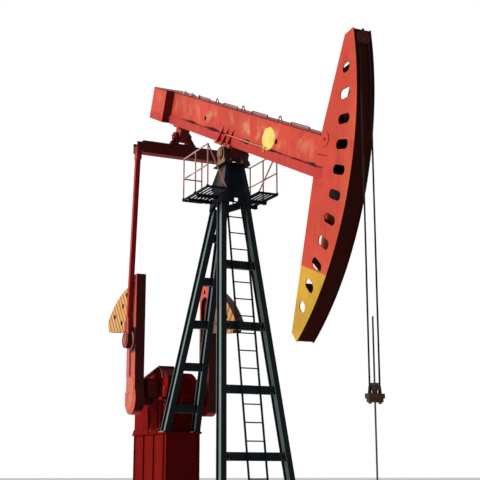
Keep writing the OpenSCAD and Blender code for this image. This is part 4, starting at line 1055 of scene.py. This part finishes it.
class PUMP_OT_drive(bpy.types.Operator):
    """Paint the reducer, the motor, the belts and the skid and add their bolts and trim."""

    bl_idname = "pump.drive"
    bl_label = "Reducer and drive"

    def execute(self, context):
        dress("reducer", "reducer_stool", "reducer_housing")
        dress("roof", "reducer_cover")
        dress("iron", "reducer_sheave", "motor_sheave")
        dress("belt", "drive_belts")
        dress("motor", "motor")
        dress("skid", "skid_base")

        # Bolts of the split flange, the shaft covers and the reducer's foot
        low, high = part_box("reducer_housing")
        rear, front = low[0] - SHAFT.x, high[0] - SHAFT.x - 0.045
        sheave_x = -0.950
        bolts = Shape(AT_SHAFT)
        for up in SIDES:
            bolts.bolts(spread(rear + 0.05, -0.28, 8), (0.375,), (up * 0.030,), (0, 0, up))
            bolts.bolts((front,), (0.17, 0.34), (up * 0.030,), (0, 0, up), 0.016)
        bolts.bolt_circle((0, 0.420, 0), OUT, 0.195, 10, 0.013, 0.011)
        bolts.bolt_circle((sheave_x, 0.400, 0), OUT, 0.098, 6, 0.009, 0.008)
        bolts.bolts(spread(rear + 0.07, 0.27, 4), (0.375,), (-0.582,), UP, 0.020, 0.022)
        bolts.mirror()
        for up in SIDES:
            bolts.bolt((front, 0, up * 0.030), (0, 0, up), 0.016)
        bolts.piece("reducer_bolts", "bolt", "frame")

        # Stiffeners, a hatch and weld beads on the sides of the stool
        low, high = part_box("reducer_stool")
        wall, middle = 0.344, (low[0] + high[0]) / 2
        foot, head = low[2] + 0.024, high[2] - 0.024
        ribs, hatch_bolts = Shape(), Shape()
        for share in (0.06, 0.35, 0.65, 0.94):
            x = low[0] + (high[0] - low[0]) * share
            ribs.block((x - 0.006, wall - 0.001, foot), (x + 0.006, wall + 0.030, head))
            for edge in (x - 0.010, x + 0.010):
                ribs.bar((edge, wall, foot), (edge, wall, head), 0.006, 6)
        for z in (foot, head):
            ribs.bar((low[0] + 0.03, wall, z), (high[0] - 0.03, wall, z), 0.007, 6)
        ribs.block((middle - 0.130, wall - 0.001, foot + 0.60),
                   (middle + 0.130, wall + 0.008, foot + 1.00), 0.003)
        for zs, count in (((foot + 0.625, foot + 0.975), 3), ((foot + 0.80,), 2)):
            hatch_bolts.bolts(spread(middle - 0.105, middle + 0.105, count), (wall + 0.008,), zs,
                              OUT, 0.011, 0.009)
        ribs.mirror().piece("stool_ribs", "reducer", "frame")
        hatch_bolts.mirror().piece("hatch_bolts", "bolt", "frame")

        # Bearing caps of the output shaft
        caps, nuts = Shape(AT_SHAFT), Shape(AT_SHAFT)
        caps.slab([(x, 0.418, z) for x, z in (
            (-0.270, 0.020), (0.270, 0.020), (0.270, 0.300), (0.190, 0.385), (-0.190, 0.385),
            (-0.270, 0.300))], (0, 0.167, 0))
        nuts.bolts(spread(-0.150, 0.150, 4), (0.500,), (0.383,), UP, 0.017, 0.016)
        caps.mirror().piece("shaft_bearing_caps", "cap_block", "frame")
        nuts.mirror().piece("cap_nuts", "pale_pink", "frame")

        # A sight pipe on the near wall
        sight = Shape(AT_SHAFT)
        sight.block((0.412, -0.356, 0.031), (0.448, -0.298, 0.190), 0.006)
        sight.stack((0.430, -0.327, 0.190), UP, 16, (0.032, 0.027, 0.020))
        sight.piece("sight_pipe", "streak", "frame")

        # Laps across the roof, and a painted highlight along the edge of its near gable
        low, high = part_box("reducer_cover")
        laps, pale_pink = Shape(AT_SHAFT), Shape(AT_SHAFT)
        eave, ridge, front_eave = (-0.680, 0.480), (0.128, 0.639), (0.602, 0.421)
        for y in spread(low[1] + 0.004, high[1] - 0.004, 3):
            for (x0, z0), (x1, z1) in ((eave, ridge), (ridge, front_eave)):
                laps.bar((x0, y, z0), (x1, y, z1), 0.007, 6)
        laps.piece("cover_laps", "roof", "frame")
        pale_pink.tube([(x, low[1] - 0.004, z) for x, z in (
            (-0.680, 0.474), (0.040, 0.614), (0.128, 0.626), (0.200, 0.590), (0.290, 0.500),
            (0.330, 0.400))], 0.008)
        pale_pink.piece("gable_edge_highlight", "pale_pink", "frame")

        breather = Shape(AT_SHAFT)
        breather.stack((-0.62, -0.10, 0.18), UP, 20, (0.055, 0.035), (0.027, 0.050, 0.036))
        breather.piece("breather", "orange", "frame")

        skid = Shape()
        skid.bolts((-5.15, -4.2, -3.0, -1.6, -0.55, 0.5), (0.470,), (0.300,), UP, 0.018, 0.016)
        skid.mirror().piece("skid_bolts", "bolt", "frame")

        sheave = Shape(AT_SHAFT)
        sheave.stack((sheave_x, 0.592, 0), OUT, 24, (0.012, 0.075))
        sheave.bolt_circle((sheave_x, 0.590, 0), OUT, 0.098, 4, 0.010, 0.008)
        sheave.piece("sheave_hub", "iron", "frame")
        return {"FINISHED"}


class PUMP_OT_carrier(bpy.types.Operator):
    """Paint the carrier and its clamp and add nuts and bolts."""

    bl_idname = "pump.carrier"
    bl_label = "Carrier"

    def execute(self, context):
        dress("carrier", "carrier_bars", "rod_clamp")
        dress("rope", "rope_sockets")
        dress("rod", "polished_rod")
        bolts = Shape(Matrix.Translation((HEAD_REACH, 0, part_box("carrier_bars")[1][2])))
        bolts.stack((0, ROPE_Y, -0.135), UP, 6, (0.020, 0.026))
        for toward in SIDES:
            bolts.bolts((toward * 0.040,), (0.034,), (0.068, 0.120), (toward, 0, 0), 0.011, 0.0055)
        bolts.mirror().piece("carrier_bolts", "bolt", "carrier")
        return {"FINISHED"}


class PUMP_OT_studio(bpy.types.Operator):
    """Lay the floor, hang the lights and set the camera."""

    bl_idname = "pump.studio"
    bl_label = "Studio"

    def execute(self, context):
        scene, settings = context.scene, context.scene.pump_studio
        scene.view_settings.view_transform = "Standard"

        floor_bm = bmesh.new()
        bmesh.ops.create_grid(floor_bm, x_segments=1, y_segments=1, size=600.0)
        mesh = bpy.data.meshes.new("floor")
        floor_bm.to_mesh(mesh)
        floor_bm.free()
        floor = add_object("floor", mesh)
        finish = Finish(name="studio floor")
        finish.feed("Base Color", (0.80, 0.80, 0.80, 1.0))
        finish.feed("Roughness", 0.9)
        finish.on(floor)

        # White where the camera or a reflection sees it, and softer as a light
        scene.world = bpy.data.worlds.new("studio")
        scene.world.use_nodes = True
        world = Nodes(scene.world.node_tree)
        background = world.tree.nodes["Background"]
        world.wire(background, "Color", (1.0, 1.0, 1.0, 1.0))
        path = world.add("ShaderNodeLightPath")
        camera_ray, glossy_ray, transmission_ray = [
            Value(world, path.outputs[name])
            for name in ("Is Camera Ray", "Is Glossy Ray", "Is Transmission Ray")]
        seen = camera_ray | glossy_ray | transmission_ray
        world.wire(background, "Strength", seen * (1.0 - settings.sky_power) + settings.sky_power)

        key = add_object("key", bpy.data.lights.new("key", "SUN"), energy=settings.key_power,
                         angle=math.radians(12.0), color=(1.0, 0.93, 0.84))
        key.rotation_euler = Vector((0.10, 1.0, -0.62)).to_track_quat("-Z", "Y").to_euler()

        camera = add_object(
            "camera", bpy.data.cameras.new("camera"), lens=settings.lens, sensor_width=36.0,
            shift_x=SHIFT_X / PICTURE, shift_y=SHIFT_Y / PICTURE, clip_end=2000.0)
        camera.location = (16.885, -7.911, PIVOT_H - 5.643)
        azimuth, pitch = math.radians(64.447), math.radians(13.714)
        forward = Vector((-math.sin(azimuth) * math.cos(pitch), math.cos(azimuth) * math.cos(pitch),
                          math.sin(pitch)))
        camera.rotation_euler = forward.to_track_quat("-Z", "Y").to_euler()
        scene.camera = camera
        return {"FINISHED"}


OPERATORS = (
    PUMP_OT_walking_beam, PUMP_OT_horsehead, PUMP_OT_wire_rope, PUMP_OT_post, PUMP_OT_platforms,
    PUMP_OT_linkage, PUMP_OT_cranks, PUMP_OT_drive, PUMP_OT_carrier, PUMP_OT_studio)


class PUMP_PT_pieces(bpy.types.Panel):
    """Lists the pieces and their settings."""

    bl_label = "Pumping Unit"
    bl_idname = "PUMP_PT_pieces"
    bl_space_type = "VIEW_3D"
    bl_region_type = "UI"
    bl_category = "Pumping Unit"

    def draw(self, context):
        for operator in OPERATORS:
            self.layout.operator(operator.bl_idname)
        for name, group in GROUPS:
            box = self.layout.box()
            for key in group.__annotations__:
                box.prop(getattr(context.scene, name), key)


def register():
    for name, group in GROUPS:
        bpy.utils.register_class(group)
        setattr(bpy.types.Scene, name, PointerProperty(type=group))
    for operator in (*OPERATORS, PUMP_PT_pieces):
        bpy.utils.register_class(operator)


def unregister():
    for operator in (PUMP_PT_pieces, *reversed(OPERATORS)):
        bpy.utils.unregister_class(operator)
    for name, group in reversed(GROUPS):
        delattr(bpy.types.Scene, name)
        bpy.utils.unregister_class(group)


def main():
    register()
    for operator in OPERATORS:
        family, action = operator.bl_idname.split(".")
        getattr(getattr(bpy.ops, family), action)()


if __name__ == "__main__":
    main()
